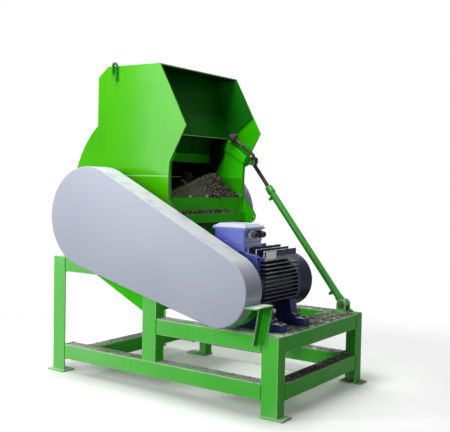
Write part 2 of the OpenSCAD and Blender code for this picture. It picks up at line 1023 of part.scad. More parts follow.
module motor_feet() {
    color(motor_blue) {
        difference() {
            for (s = [-1, 1])
                for (y = foot_rows)
                    slab(y - 35, y + 35)
                        polygon([
                            [motor_c[0] + s * 70, feet_z], [motor_c[0] + s * 205, feet_z],
                            [motor_c[0] + s * 205, feet_z + 20], [motor_c[0] + s * 182, feet_z + 28],
                            [motor_c[0] + s * 168, motor_c[1] - 92], [motor_c[0] + s * 70, motor_c[1] - 92]
                        ]);
            bar_y(motor_c, core_r + 0.05, frame_front - 10, frame_back + 60, 96);
        }
        // packers across the motor rails
        for (y = foot_rows)
            translate([motor_c[0] - 270, y - 35, motor_z])
                cube([540, 70, feet_z - motor_z]);
    }
}

foot_rows = [-400, -130];

module terminal_box() {
    color(motor_blue) {
        // neck between the frame's deck and the box
        translate([box_c[0], box_c[1], motor_c[1] + deck_h])
            linear_extrude(box_z - motor_c[1] - deck_h)
                rounded_square(211, 196, 12);
        translate([box_c[0], box_c[1], box_z])
            linear_extrude(lid_z - box_z)
                rounded_square(215, 200, 12);
        translate([box_c[0], box_c[1], lid_z])
            linear_extrude(lid_t)
                rounded_square(247, 216, 14);
        // sloped crown of the lid
        hull() {
            translate([box_c[0], box_c[1], lid_z + lid_t - 1])
                linear_extrude(1)
                    rounded_square(233, 202, 12);
            translate([box_c[0], box_c[1], lid_z + lid_t + 19])
                linear_extrude(1)
                    rounded_square(188, 157, 10);
        }
        for (dy = gland_rows)
            translate([box_c[0] + 100, box_c[1] + dy, 1026])
                rotate([0, 90, 0])
                    cylinder(r = 19, h = 50, $fn = 24);
    }
}

box_z = 984;
lid_z = 1056;
lid_t = 14;
gland_rows = [-32, 60];

post_front_left();
post_rear_left();
post_mid_front();
post_mid_rear();
post_front_right();
post_rear_right();
upper_long_rails();
upper_cross_rails();
lower_long_rails();
lower_cross_rails();
motor_long_rails();
motor_cross_rails();
casing_side_near();
casing_side_far();
casing_back();
casing_front();
feed_apron();
feed_ramp();
discharge_chute();
rotor_shaft();
rotor_discs();
rotor_hammers();
rotor_bearings();
belt_guard();
belt_guard_back();
guard_bracket();
belt_drive();
far_guard();
hood_side_near();
hood_side_far();
hood_shell();
hood_liner();
hood_wear_plates();
impact_bar();
hood_ram_lug();
lifting_lugs();
hinge_lower();
hinge_upper();
ram_bracket();
ram_barrel();
ram_rod();
motor_frame();
motor_cowl();
motor_feet();
terminal_box();
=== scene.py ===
"""Looks of the granule crusher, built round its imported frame.

The frame gives every plate, tube and casting its place. This script paints those parts, and adds
what a fitter would add: bolts, weld beads, the seam's strips, the motor's fan and the ram's small
parts. It makes the two guards and the terminal box anew with their folds and rims, and strews the
granules that lie about the mouth, on the rails and on the feet.
"""
import json
import logging
import math
import random
from dataclasses import dataclass
from enum import Enum
from typing import Any, Callable, Iterable, Mapping, Sequence

import bmesh
import bpy
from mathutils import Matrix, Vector


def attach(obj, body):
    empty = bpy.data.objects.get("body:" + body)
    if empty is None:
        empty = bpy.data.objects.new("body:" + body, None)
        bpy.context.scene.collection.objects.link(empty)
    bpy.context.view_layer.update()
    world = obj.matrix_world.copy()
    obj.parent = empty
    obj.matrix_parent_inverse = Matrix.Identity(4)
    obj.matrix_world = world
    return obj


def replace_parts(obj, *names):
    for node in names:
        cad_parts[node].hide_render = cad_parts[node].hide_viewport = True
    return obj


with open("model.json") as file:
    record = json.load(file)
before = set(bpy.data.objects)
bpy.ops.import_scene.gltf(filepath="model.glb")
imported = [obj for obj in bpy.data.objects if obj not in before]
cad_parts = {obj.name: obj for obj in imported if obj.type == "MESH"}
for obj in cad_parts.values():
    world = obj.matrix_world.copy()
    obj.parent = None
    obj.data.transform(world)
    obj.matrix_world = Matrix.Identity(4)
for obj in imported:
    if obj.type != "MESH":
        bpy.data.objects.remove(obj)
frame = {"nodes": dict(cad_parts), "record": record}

LOG = logging.getLogger("crusher")
RGB = tuple[float, float, float]
Point = tuple[float, float, float]
Flat = tuple[float, float]
Spot = tuple[Point, Point]
UP: Point = (0, 0, 1)
ALONG: Point = (1, 0, 0)
ACROSS: Point = (0, 1, 0)
SIDES = (-1, 1)
# Axes of the rotor and the motor, outer and inner half width of the housing, height of its seam.
SHAFT: Flat = (-0.432, 1.091)
MOTOR_AXIS: Flat = (0.591, 0.718)
HALF = 0.434
CHAMBER = 0.4035
SEAM = 1.361


class Slot(Enum):
    """Material slots of the record."""

    FRAME = "frame_paint"
    HOUSING = "housing_paint"
    INNER = "inner_paint"
    GUARD = "guard_paint"
    MOTOR = "motor_paint"
    ROTOR = "rotor_steel"
    PULLEY = "pulley_iron"
    BEARING = "bearing_iron"
    BARE = "bare_steel"
    ROD = "rod_steel"


class Body(Enum):
    """Bodies that pieces of this script ride on."""

    ROOT = "root"
    HOOD = "hood"
    BARREL = "ram_barrel"


def srgb(red: int, green: int, blue: int) -> RGB:
    """Turns display values into the linear values of a shader.

    Args:
        red, green, blue: Each from 0 to 255.

    Returns:
        The linear colour.
    """
    shares = (value / 255 for value in (red, green, blue))
    return tuple(s / 12.92 if s <= 0.04045 else ((s + 0.055) / 1.055) ** 2.4 for s in shares)


# ---- node graphs ----


def arithmetic(operation: str, swapped: bool = False) -> Callable[["Value", Any], "Value"]:
    """Makes a method of Value that works on two terms.

    Args:
        operation: The Math node's operation.
        swapped: Whether the other term comes first.

    Returns:
        A method that adds the Math node and returns its output.
    """

    def method(self: "Value", other: Any) -> "Value":
        """Adds the Math node."""
        return self.math(operation, *((other, self) if swapped else (self, other)))

    return method


class Value:
    """A number that travels along a socket. Python arithmetic on it adds Math nodes."""

    __add__, __radd__ = arithmetic("ADD"), arithmetic("ADD", True)
    __sub__, __rsub__ = arithmetic("SUBTRACT"), arithmetic("SUBTRACT", True)
    __mul__, __rmul__ = arithmetic("MULTIPLY"), arithmetic("MULTIPLY", True)
    __truediv__, __rtruediv__ = arithmetic("DIVIDE"), arithmetic("DIVIDE", True)
    most, least = arithmetic("MAXIMUM"), arithmetic("MINIMUM")

    def __init__(self, graph: "Graph", socket: bpy.types.NodeSocket) -> None:
        """Keeps the socket and the graph that it belongs to."""
        self.graph = graph
        self.socket = socket

    def __abs__(self) -> "Value":
        """Size without sign."""
        return self.math("ABSOLUTE", self)

    def math(self, operation: str, *terms: Any) -> "Value":
        """Adds one Math node over the terms."""
        return self.graph.value("ShaderNodeMath", dict(enumerate(terms)), {"operation": operation})

    def root(self) -> "Value":
        """Square root."""
        return self.math("SQRT", self)

    def rise(self, low: float, high: float) -> "Value":
        """Smooth step from 0 at low to 1 at high, or back again where low is above high."""
        first, last, start, end = (low, high, 0.0, 1.0) if low < high else (high, low, 1.0, 0.0)
        return self.graph.value(
            "ShaderNodeMapRange",
            {"Value": self, "From Min": first, "From Max": last, "To Min": start, "To Max": end},
            {"interpolation_type": "SMOOTHSTEP"},
        )


class Graph:
    """Adds nodes to one shader or geometry tree."""

    def __init__(self, tree: bpy.types.NodeTree) -> None:
        """Keeps the tree."""
        self.tree = tree

    def node(
        self,
        kind: str,
        sockets: Mapping[Any, Any] | None = None,
        settings: Mapping[str, Any] | None = None,
    ) -> bpy.types.Node:
        """Adds any node.

        Args:
            kind: The node's type name.
            sockets: Values or links by socket name or place.
            settings: Its own settings, such as an operation, which are set first.

        Returns:
            The new node.
        """
        made = self.tree.nodes.new(kind)
        for key, setting in (settings or {}).items():
            setattr(made, key, setting)
        for key, given in (sockets or {}).items():
            given = given.socket if isinstance(given, Value) else given
            if isinstance(given, bpy.types.NodeSocket):
                self.tree.links.new(given, made.inputs[key])
            else:
                if made.inputs[key].type == "RGBA" and len(given) == 3:
                    given = (*given, 1)
                made.inputs[key].default_value = given
        return made

    def put(self, kind: str, sockets: Any = None, settings: Any = None, out: Any = 0) -> Any:
        """Adds any node and returns one of its output sockets."""
        return self.node(kind, sockets, settings).outputs[out]

    def value(self, kind: str, sockets: Any = None, settings: Any = None, out: Any = 0) -> Value:
        """Adds any node and returns one of its outputs as a Value."""
        return Value(self, self.put(kind, sockets, settings, out))


class Shader(Graph):
    """A material's graph, with the patterns that several finishes share."""

    def __init__(self, name: str, colour: RGB = (1, 1, 1)) -> None:
        """Makes an empty material.

        Args:
            name, colour: Its name and its ground colour.
        """
        self.colour: Any = colour
        self.material = bpy.data.materials.new(name)
        self.material.use_nodes = True
        super().__init__(self.material.node_tree)
        self.tree.nodes.clear()
        spot = self.node("ShaderNodeTexCoord")
        self.place = spot.outputs["Object"]
        self.normal = spot.outputs["Normal"]
        self.x, self.y, self.z = self.split(self.place)
        self.side, self.front, self.up = self.split(self.normal)

    def split(self, whole: bpy.types.NodeSocket) -> list[Value]:
        """The three parts of a vector."""
        made = self.node("ShaderNodeSeparateXYZ", {0: whole})
        return [Value(self, part) for part in made.outputs]

    def vector(self, operation: str, first: Any, second: Any, out: Any = 0) -> Any:
        """Adds one Vector Math node over two vectors."""
        settings = {"operation": operation}
        return self.put("ShaderNodeVectorMath", {0: first, 1: second}, settings, out)

    def noise(
        self, scale: float, detail: float, stretch: Point = (1, 1, 1), shift: Point = (0, 0, 0)
    ) -> Value:
        """Soft noise from 0 to 1, drawn out along the axes whose stretch is small."""
        place = self.vector("MULTIPLY", self.vector("ADD", self.place, shift), stretch)
        sockets = {"Vector": place, "Scale": scale, "Detail": detail}
        return self.value("ShaderNodeTexNoise", sockets)

    def cells(self, scale: float) -> Value:
        """Distance to the nearest point of a scatter of points."""
        return self.value("ShaderNodeTexVoronoi", {"Vector": self.place, "Scale": scale})

    def mix(self, below: Any, above: Any, share: Any) -> bpy.types.NodeSocket:
        """Colour between two others."""
        sockets = {0: share, 6: below, 7: above}
        return self.put("ShaderNodeMix", sockets, {"data_type": "RGBA"}, 2)

    def lay(self, above: Any, share: Any) -> None:
        """Lays a colour over what is there."""
        self.colour = self.mix(self.colour, above, share)

    def dot(self, first: bpy.types.NodeSocket, second: bpy.types.NodeSocket) -> Value:
        """Dot product of two directions."""
        return Value(self, self.vector("DOT_PRODUCT", first, second, "Value"))

    def edge(self, radius: float) -> Value:
        """Finds outer edges and corners.

        Args:
            radius: How far the edge reaches, in metres.

        Returns:
            1 on edges, 0 on flat faces.
        """
        rounded_off = self.put("ShaderNodeBevel", {"Radius": radius}, {"samples": 4})
        flat = self.put("ShaderNodeNewGeometry", out="Normal")
        return self.dot(rounded_off, flat).rise(0.995, 0.9)

    def inward(self, centre: Point) -> Value:
        """1 on faces that look towards a centre, 0 on those that look away from it."""
        arm = self.vector("SUBTRACT", self.place, centre)
        return self.dot(arm, self.normal).rise(-0.01, -0.03)

    def finish(
        self,
        rough: Any,
        metal: Any = 0.0,
        coat: float = 0.0,
        height: Value | None = None,
        depth: float = 0.001,
        specular: float = 0.3,
    ) -> bpy.types.Material:
        """Ends the graph in a Principled shader.

        Args:
            rough, metal: Roughness and Metallic, as numbers or Values.
            coat: Clear coat weight.
            height, depth: Relief from 0 to 1, and its depth in metres.
            specular: Specular level.

        Returns:
            The finished material.
        """
        sockets: dict[str, Any] = {
            "Base Color": self.colour,
            "Roughness": rough,
            "Metallic": metal,
            "Coat Weight": coat,
            "Coat Roughness": 0.12,
            "Specular IOR Level": specular,
        }
        if height is not None:
            sockets["Normal"] = self.put("ShaderNodeBump", {"Distance": depth, "Height": height})
        self.node("ShaderNodeOutputMaterial", {0: self.put("ShaderNodeBsdfPrincipled", sockets)})
        return self.material


# ---- finishes ----

# What lies on the paint: pale dust, dark spill, and primer or brown dirt. Then the painted light on
# the inner flanks at the mouth.
DUST = srgb(222, 227, 216)
GRAIN = srgb(74, 69, 62)
PRIMER = srgb(88, 76, 60)
PAINTED_FLANK_LIGHT = srgb(48, 182, 5)


@dataclass(frozen=True)
class Enamel:
    """Sprayed enamel on steel.

    Attributes:
        colour: The clean paint.
        thin: The tone where it is thin or grimy.
        pale: The pale tone of worn edges, partly standing for painted highlights along them, and of
            the painted light on faces towards the front.
        rough: Roughness of the clean paint.
        coat: Weight of its gloss.
        dust: How thickly dust lies on what faces up, from 0 to 1.
        spill: How much dark dust lies there towards the motor's end, from 0 to 1.
        edge_wear_and_highlight: How strongly its edges are laid pale, as wear and as painted
            highlight, from 0 to 1.
        chips: How much of it is chipped to the primer, from 0 to 1.
        grime: How strong the runs and smears are, from 0 to 1.
        inside: Painted shade on the faces that look into the chamber, where it has one.
        specular: Strength of its reflections.
        corner: How far from an edge the pale edge tone reaches, in metres.
        lightened: How strongly the faces towards the front are painted paler, most at the left end,
            as painted light, from 0 to 1.
        soil: How strongly brown dirt stains what faces up, from 0 to 1.
        corner_highlights: Whether its rounded corners are laid pale along their whole length, as
            painted highlight.
    """

    name: str
    colour: RGB
    thin: RGB
    pale: RGB
    rough: float = 0.4
    coat: float = 0.0
    dust: float = 0.3
    spill: float = 0.0
    edge_wear_and_highlight: float = 0.5
    chips: float = 0.2
    grime: float = 0.3
    inside: RGB | None = None
    specular: float = 0.22
    corner: float = 0.004
    lightened: float = 0.0
    soil: float = 0.0
    corner_highlights: bool = False

    def material(self) -> bpy.types.Material:
        """Builds the paint's graph."""
        g = Shader(self.name, self.colour)
        broad = g.noise(2.3, 3)
        g.lay(self.thin, broad.rise(0.35, 0.8) * 0.5)
        # Painted light: faces towards the front are laid pale, more towards the left end.
        if self.lightened > 0:
            painted_front_light = g.front.rise(-0.6, -0.9) * (1 - g.x.rise(-0.9, 0.9) * 0.6)
            g.lay(self.pale, painted_front_light * self.lightened)
        runs = g.noise(30, 3, (1, 1, 0.06)).rise(0.56, 0.8) * self.grime
        smears = g.noise(7, 4).rise(0.6, 0.78) * (self.grime * 0.7)
        g.lay(self.thin, runs.most(smears))
        # Pale edges: partly wear, partly painted highlight along edges and rounded corners.
        edges = g.edge(self.corner)
        if self.corner_highlights:
            square = abs(g.side).most(abs(g.front)).most(abs(g.up))
            edges = edges.most(square.rise(0.985, 0.93))
        worn_and_highlit_edges = edges * g.noise(45, 4).rise(0.3, 0.5)
        g.lay(self.pale, worn_and_highlit_edges * self.edge_wear_and_highlight)
        chips = g.noise(95, 4).rise(0.735, 0.76).most(worn_and_highlit_edges * g.noise(130, 3).rise(0.58, 0.66))
        chips = chips * self.chips
        g.lay(PRIMER, chips)
        upward = g.up.rise(0.55, 0.95)
        film = g.noise(3.1, 4, (1, 1, 1), (3, 1, 2)).rise(0.5, 0.8) * (self.dust * 0.12)
        lying = (upward * g.noise(11, 4).rise(0.22, 0.5) * self.dust).most(film)
        g.lay(DUST, lying)
        if self.spill > 0:
            towards = g.x.rise(0.2, 0.6) * g.y.rise(-0.46, -0.34)
            dark = upward * g.noise(19, 4).rise(0.25, 0.5) * self.spill
            g.lay(GRAIN, dark * (towards * 0.75 + 0.12))
        if self.soil > 0:
            stain = g.up.rise(0.3, 0.7) * g.noise(13, 5, (1, 0.5, 1)).rise(0.5, 0.64) * self.soil
            g.lay(PRIMER, stain)
        if self.inside:
            self.chamber(g)
        rough = (self.rough + broad * 0.04 + lying * 0.45 + chips * 0.2).least(1.0)
        height = g.noise(50, 1) * 0.02 - chips * 0.3 + lying * g.noise(300, 2) * 0.5
        return g.finish(rough, 0.0, self.coat, height, 0.001, self.specular)

    def chamber(self, g: Shader) -> None:
        """Paints light on the flanks at the mouth, and paints shade on what looks into the chamber
        behind.

        Args:
            g: The paint's graph.
        """
        lit_flanks = abs(g.y).rise(0.414, 0.408).most(g.x.rise(-0.2, -0.15) * g.z.rise(1.9, 1.8))
        inward = g.inward((-0.25, 0.0, 1.6))
        # Painted light: inward faces near the mouth's sides are laid bright green.
        g.lay(PAINTED_FLANK_LIGHT, inward * lit_flanks)
        # Painted shade: the other inward faces are laid dark, mottled towards near black.
        painted_chamber_shade = inward * (1 - lit_flanks * abs(g.front).rise(0.6, 0.9))
        g.lay(g.mix(self.inside, srgb(8, 22, 8), g.noise(9, 4).rise(0.4, 0.72) * 0.7), painted_chamber_shade)


@dataclass(frozen=True)
class Steel:
    """Bare or oiled steel.

    Attributes:
        colour: The metal.
        stain: Colour of its rust and old oil.
        rough: Roughness of the clean metal.
        rust: How much of it is stained, from 0 to 1.
        lay: Stretch of the tool marks along each axis.
        metal: How metallic the clean metal is, from 0 to 1.
    """

    name: str
    colour: RGB
    stain: RGB
    rough: float = 0.4
    rust: float = 0.3
    lay: Point = (1, 1, 1)
    metal: float = 0.9

    def material(self) -> bpy.types.Material:
        """Builds the metal's graph."""
        g = Shader(self.name, self.colour)
        marks = g.noise(160, 3, self.lay)
        patch = g.noise(14, 5).rise(0.62 - 0.3 * self.rust, 0.8 - 0.2 * self.rust) * self.rust
        g.lay(self.stain, patch)
        g.lay(self.stain, marks.rise(0.5, 0.8) * 0.4)
        rough = (self.rough + marks * 0.2 + patch * 0.35).least(1.0)
        metal = (self.metal - patch * 0.6).most(0.0)
        return g.finish(rough, metal, height=marks + patch, depth=0.0006)


@dataclass(frozen=True)
class Granules:
    """Dark crushed granules; the near part of the heap is finer and full of pale dust.

    Attributes:
        dark: The granules' colour, which also serves as painted shade in the gaps between them.
        pale: The painted highlight on the granules' middles, and the light granules among them.
        fines: The fine, dusty part.
        bounds: Where across the mouth it begins and ends to turn coarse.
    """

    name: str = "granules"
    dark: RGB = srgb(34, 32, 28)
    pale: RGB = srgb(196, 190, 176)
    fines: RGB = srgb(84, 92, 68)
    bounds: Flat = (-0.04, 0.09)

    def material(self) -> bpy.types.Material:
        """Builds the granules' graph."""
        g = Shader(self.name, self.dark)
        # Painted light: pale middles on the cells and dark gaps between them, as highlight and
        # shade of single granules.
        grain_highlights = g.cells(95).rise(0.5, 0.2) * g.noise(60, 2).rise(0.38, 0.6)
        g.lay(self.pale, grain_highlights.most(g.noise(150, 2).rise(0.55, 0.74) * 0.6))
        g.lay(srgb(74, 58, 44), g.noise(31, 3).rise(0.5, 0.75) * 0.4)
        fine = (g.y + g.noise(12, 3) * 0.08 - 0.04).rise(self.bounds[1], self.bounds[0])
        fine = fine * g.x.rise(0.0, -0.01)
        g.lay(self.fines, fine * 0.8)
        height = (1 - g.cells(130)) * (1 - fine * 0.8)
        return g.finish(0.93, height=height, depth=0.004, specular=0.12)


@dataclass(frozen=True)
class MotorEnamel:
    """Enamel on the motor's castings, with painted highlights on the fins' outer edges and the
    ribs, and painted shade between the fins.

    Attributes:
        blue: The enamel on the castings at the ends.
        navy: The enamel on the fins.
        deep: The painted shade between them.
        painted_highlight: The painted highlight on the fins' outer edges, the ribs and the shield's
            rim.
        axis: The motor's axis, in X and Z.
        core: Radius at the fins' roots.
        frame: First and last place of the fins along the motor.
    """

    name: str
    blue: RGB
    navy: RGB
    deep: RGB
    painted_highlight: RGB
    axis: Flat
    core: float
    frame: Flat

    def material(self) -> bpy.types.Material:
        """Builds the graph from the places across and along the motor."""
        g = Shader(self.name, self.deep)
        across = abs(g.x - self.axis[0])
        height = g.z - self.axis[1]
        blotch = g.noise(26, 4)
        # Painted shade: the fins' roots keep the near-black tone; the fins, the ribs and the lower
        # half are laid navy over it.
        reach = across.rise(self.core - 0.002, self.core + 0.018)
        ribs = height.rise(0.183, 0.186)
        low = height.rise(0.02, -0.07) * 0.6
        g.lay(self.navy, (reach * 0.75).most(ribs).most(low))
        # Painted highlights: pale outer fin edges, brighter on the upper fins and towards the
        # shield, and pale rib tops.
        fin_tip_highlights = abs(g.side).rise(0.7, 0.9) * across.rise(self.core + 0.004, self.core + 0.008)
        fin_tip_highlights = fin_tip_highlights * (height.rise(-0.04, 0.1) * 0.7 + 0.25)
        caps = ribs * abs(g.side).rise(0.5, 0.3)
        highlight_near_shield = 0.5 + g.y.rise(-0.3, -0.42) * 0.5
        bright = (fin_tip_highlights * highlight_near_shield * (1 - ribs)).most(caps * 0.8) * g.noise(60, 3).rise(0.25, 0.5)
        g.lay(self.painted_highlight, bright)
        shield = g.y.rise(self.frame[0] + 0.0006, self.frame[0] - 0.0006)
        tail = g.y.rise(self.frame[1] - 0.0006, self.frame[1] + 0.0006)
        # Painted highlight: a pale rim along the shield's upward edges.
        rim = g.edge(0.006) * g.up.rise(-0.2, 0.4)
        g.lay(g.mix(self.blue, self.painted_highlight, rim * 0.6), shield)
        g.lay(self.navy, tail)
        g.lay(self.deep, blotch.rise(0.55, 0.8) * 0.4)
        lying = g.up.rise(0.6, 0.95) * g.noise(17, 4).rise(0.35, 0.65) * 0.3
        g.lay(DUST, lying)
        rough = (0.4 + blotch * 0.12 + lying * 0.4).least(1.0)
        return g.finish(rough, height=g.noise(240, 3), depth=0.0008, specular=0.15)


@dataclass(frozen=True)
class Rubber:
    """Moulded rubber and cable sheath."""

    name: str
    colour: RGB
    rough: float = 0.6

    def material(self) -> bpy.types.Material:
        """Builds the rubber's graph."""
        g = Shader(self.name, self.colour)
        dusty = g.noise(30, 4).rise(0.45, 0.75)
        g.lay(DUST, dusty * 0.25)
        return g.finish(self.rough + dusty * 0.2, height=g.noise(380, 2), depth=0.0005)


class Paintshop:
    """Every finish of the machine, each made once."""

    def __init__(self) -> None:
        """Mixes the finishes."""
        leaf, leaf_thin, leaf_pale = srgb(76, 184, 2), srgb(44, 168, 5), srgb(172, 226, 150)
        # The hood's inside tone is painted shade on the faces that look into the chamber.
        self.hood = Enamel(
            "hood_enamel", leaf, leaf_thin, leaf_pale,
            rough=0.13, dust=0.06, edge_wear_and_highlight=0.55, chips=0.12, grime=0.2, inside=srgb(10, 66, 8),
            specular=0.08,
        ).material()
        # Its bright green is painted light on the wear plates inside the mouth.
        self.wear = Enamel(
            "wear_enamel_painted_light", srgb(62, 232, 6), srgb(48, 206, 5), leaf_pale,
            rough=0.5, dust=0.1, edge_wear_and_highlight=0.1, chips=0.1, specular=0.05,
        ).material()
        self.frame = Enamel(
            "frame_enamel", srgb(62, 204, 38), srgb(38, 178, 20), srgb(190, 230, 180),
            rough=0.36, dust=0.95, spill=1.0, edge_wear_and_highlight=0.8, chips=0.25, grime=0.2, specular=0.12,
            corner=0.01, lightened=0.24, corner_highlights=True,
        ).material()
        self.bracket = Enamel(
            "bracket_enamel", srgb(40, 182, 22), srgb(26, 144, 14), srgb(190, 222, 180),
            dust=1.0, edge_wear_and_highlight=0.9, grime=0.4, specular=0.12, corner=0.009,
        ).material()
        # Its dark green is painted shade for the inside of the machine.
        self.inner = Enamel(
            "inner_enamel_painted_shade", srgb(14, 108, 8), srgb(6, 60, 4), srgb(90, 130, 80),
            rough=0.5, dust=0.2, edge_wear_and_highlight=0.6, grime=0.7, specular=0.06,
        ).material()
        self.guard = Enamel(
            "guard_enamel", srgb(178, 183, 198), srgb(168, 174, 190), srgb(226, 228, 234),
            rough=0.42, dust=0.55, chips=0.15, grime=0.2, soil=0.12,
        ).material()
        # The motor's near-black tone is painted shade between the fins and its palest tone is
        # painted highlight.
        self.motor = MotorEnamel(
            "motor_enamel",
            blue=srgb(72, 86, 172), navy=srgb(24, 30, 70), deep=srgb(6, 7, 12),
            painted_highlight=srgb(244, 247, 255), axis=MOTOR_AXIS, core=0.156, frame=(-0.462, -0.082),
        ).material()
        self.box = Enamel(
            "box_enamel", srgb(98, 112, 206), srgb(74, 86, 184), srgb(196, 200, 232),
            rough=0.28, coat=1.0, dust=0.1, edge_wear_and_highlight=0.9, chips=0.1, specular=0.3,
        ).material()
        self.apron = Enamel(
            "apron_enamel", srgb(62, 206, 14), srgb(40, 156, 8), srgb(130, 190, 110),
            rough=0.45, dust=0.2, chips=0.3, grime=0.8, specular=0.08,
        ).material()
        # Its pale lavender is a painted reflection on the lid's crown.
        self.lid = Enamel(
            "lid_enamel_painted_reflection", srgb(186, 189, 212), srgb(150, 154, 194), srgb(226, 228, 238),
            coat=0.3, dust=0.1, chips=0.1, grime=0.4,
        ).material()
        self.cowl = Enamel(
            "cowl_enamel", srgb(16, 30, 58), srgb(10, 17, 40), srgb(70, 80, 110),
            rough=0.35, dust=0.1, edge_wear_and_highlight=0.4, chips=0.1, grime=0.4, specular=0.05,
        ).material()
        # Its dark blue, darker than the motor's, is painted shade on the motor's feet.
        self.feet = Enamel(
            "feet_enamel_painted_shade", srgb(31, 42, 98), srgb(18, 25, 62), srgb(130, 140, 176),
            rough=0.5, dust=0.6, grime=0.6,
        ).material()
        self.rotor = Steel(
            "rotor_steel", srgb(84, 80, 70), srgb(52, 46, 38),
            rough=0.5, rust=0.7, lay=(1, 0.1, 1),
        ).material()
        self.pulley = Steel("pulley_iron", srgb(120, 120, 122), srgb(60, 56, 52)).material()
        self.bearing = Enamel(
            "bearing_enamel", srgb(44, 134, 34), srgb(24, 92, 22), srgb(150, 200, 140),
            rough=0.45, dust=0.5, chips=0.3, grime=0.5,
        ).material()
        self.bare = Steel(
            "bare_steel", srgb(168, 166, 160), srgb(110, 92, 74),
            rough=0.35,
        ).material()
        self.rod = Steel(
            "rod_steel", srgb(62, 50, 42), srgb(34, 26, 22),
            rough=0.5, rust=0.8, metal=0.25,
        ).material()
        self.eye = Enamel(
            "eye_enamel", srgb(20, 128, 24), srgb(12, 96, 16), srgb(170, 215, 160),
            dust=0.1, edge_wear_and_highlight=0.2, chips=0.1, specular=0.1,
        ).material()
        self.barrel = Enamel(
            "barrel_enamel", srgb(40, 152, 30), srgb(26, 116, 20), srgb(170, 215, 160),
            rough=0.32, dust=0.0, edge_wear_and_highlight=0.0, chips=0.0, grime=0.0, specular=0.5,
        ).material()
        self.zinc = Steel(
            "zinc_plate", srgb(190, 190, 184), srgb(140, 134, 120),
            rough=0.35, rust=0.2, metal=0.6,
        ).material()
        self.crust = Steel(
            "crusted_steel", srgb(112, 100, 94), srgb(56, 46, 40),
            rough=0.7, rust=0.7, metal=0.0,
        ).material()
        self.weld = Enamel(
            "painted_weld", srgb(66, 166, 46), srgb(40, 128, 30), srgb(170, 214, 156),
            dust=0.2, edge_wear_and_highlight=0.0, chips=0.0, grime=0.4,
        ).material()
        self.granules = Granules().material()
        self.belt = Rubber("belt_rubber", srgb(30, 30, 31)).material()
        # The seal strip's pale green is a painted highlight along the seam.
        self.seal = Rubber("seal_strip", srgb(168, 214, 150), 0.7).material()
        self.gland = Rubber("gland_black", srgb(30, 29, 28), 0.45).material()


# ---- geometry recipes ----


def link(name: str, data: bpy.types.ID) -> bpy.types.Object:
    """Puts a mesh, lamp or camera into the scene as an object at the origin."""
    made = bpy.data.objects.new(name, data)
    bpy.context.scene.collection.objects.link(made)
    return made


class Recipe(Graph):
    """A Geometry Nodes tree with named inputs, which turns a plain mesh into another."""

    def __init__(self, name: str) -> None:
        """Starts a tree that takes and gives geometry, and takes a finish for it.

        Args:
            name: Name of the tree.
        """
        super().__init__(bpy.data.node_groups.new(name, "GeometryNodeTree"))
        self.keys: dict[str, str] = {}
        for way in ("INPUT", "OUTPUT"):
            self.tree.interface.new_socket(
                "Geometry", in_out=way, socket_type="NodeSocketGeometry"
            )
        self.entry = self.tree.nodes.new("NodeGroupInput")
        self.exit = self.tree.nodes.new("NodeGroupOutput")
        self.paint = self.given("Finish", "NodeSocketMaterial")

    @property
    def source(self) -> bpy.types.NodeSocket:
        """The geometry that comes in."""
        return self.entry.outputs["Geometry"]

    def given(self, name: str, kind: str = "NodeSocketFloat") -> Value:
        """Adds a named input."""
        item = self.tree.interface.new_socket(name, in_out="INPUT", socket_type=kind)
        self.keys[name] = item.identifier
        return Value(self, self.entry.outputs[name])

    def chance(self, low: Any, high: Any, seed: Any) -> Any:
        """A number between two others, drawn for each point."""
        sockets = {2: low, 3: high, "Seed": seed}
        return self.put("FunctionNodeRandomValue", sockets, {"data_type": "FLOAT"}, 1)

    def joined(self, parts: Iterable[Any]) -> Any:
        """Joins geometries.

        Args:
            parts: The geometries, in order.

        Returns:
            The whole.
        """
        whole = self.node("GeometryNodeJoinGeometry")
        for part in parts:
            self.tree.links.new(part, whole.inputs[0])
        return whole.outputs[0]

    def copies(self, points: Any, thing: Any, turn: Any, size: Any = (1, 1, 1)) -> Any:
        """Sets a copy of a thing on each point."""
        sockets = {"Points": points, "Instance": thing, "Rotation": turn, "Scale": size}
        return self.put("GeometryNodeInstanceOnPoints", sockets)

    def close(self, geometry: bpy.types.NodeSocket) -> "Recipe":
        """Ends the tree in Realize Instances and Set Material.

        Args:
            geometry: What the tree has made.

        Returns:
            This recipe.
        """
        real = self.put("GeometryNodeRealizeInstances", {"Geometry": geometry})
        dressed = self.put("GeometryNodeSetMaterial", {"Geometry": real, "Material": self.paint})
        self.tree.links.new(dressed, self.exit.inputs[0])
        return self

    def bake(
        self, name: str, mesh: bpy.types.Mesh, paint: bpy.types.Material, **sizes: Any
    ) -> bpy.types.Object:
        """Runs the tree on a mesh.

        Args:
            name: Name of the new piece.
            mesh: The points, edges or faces that the tree works on.
            paint: Finish of the result.
            **sizes: The tree's other inputs, by name.

        Returns:
            An object at the origin with the result and no modifier.
        """
        made = link(name, mesh)
        modifier = made.modifiers.new("recipe", "NODES")
        modifier.node_group = self.tree
        for key, given in {"Finish": paint, **sizes}.items():
            modifier[self.keys[key]] = given
        depsgraph = bpy.context.evaluated_depsgraph_get()
        result = bpy.data.meshes.new_from_object(made.evaluated_get(depsgraph))
        made.modifiers.clear()
        made.data = result
        result.name = name
        return made


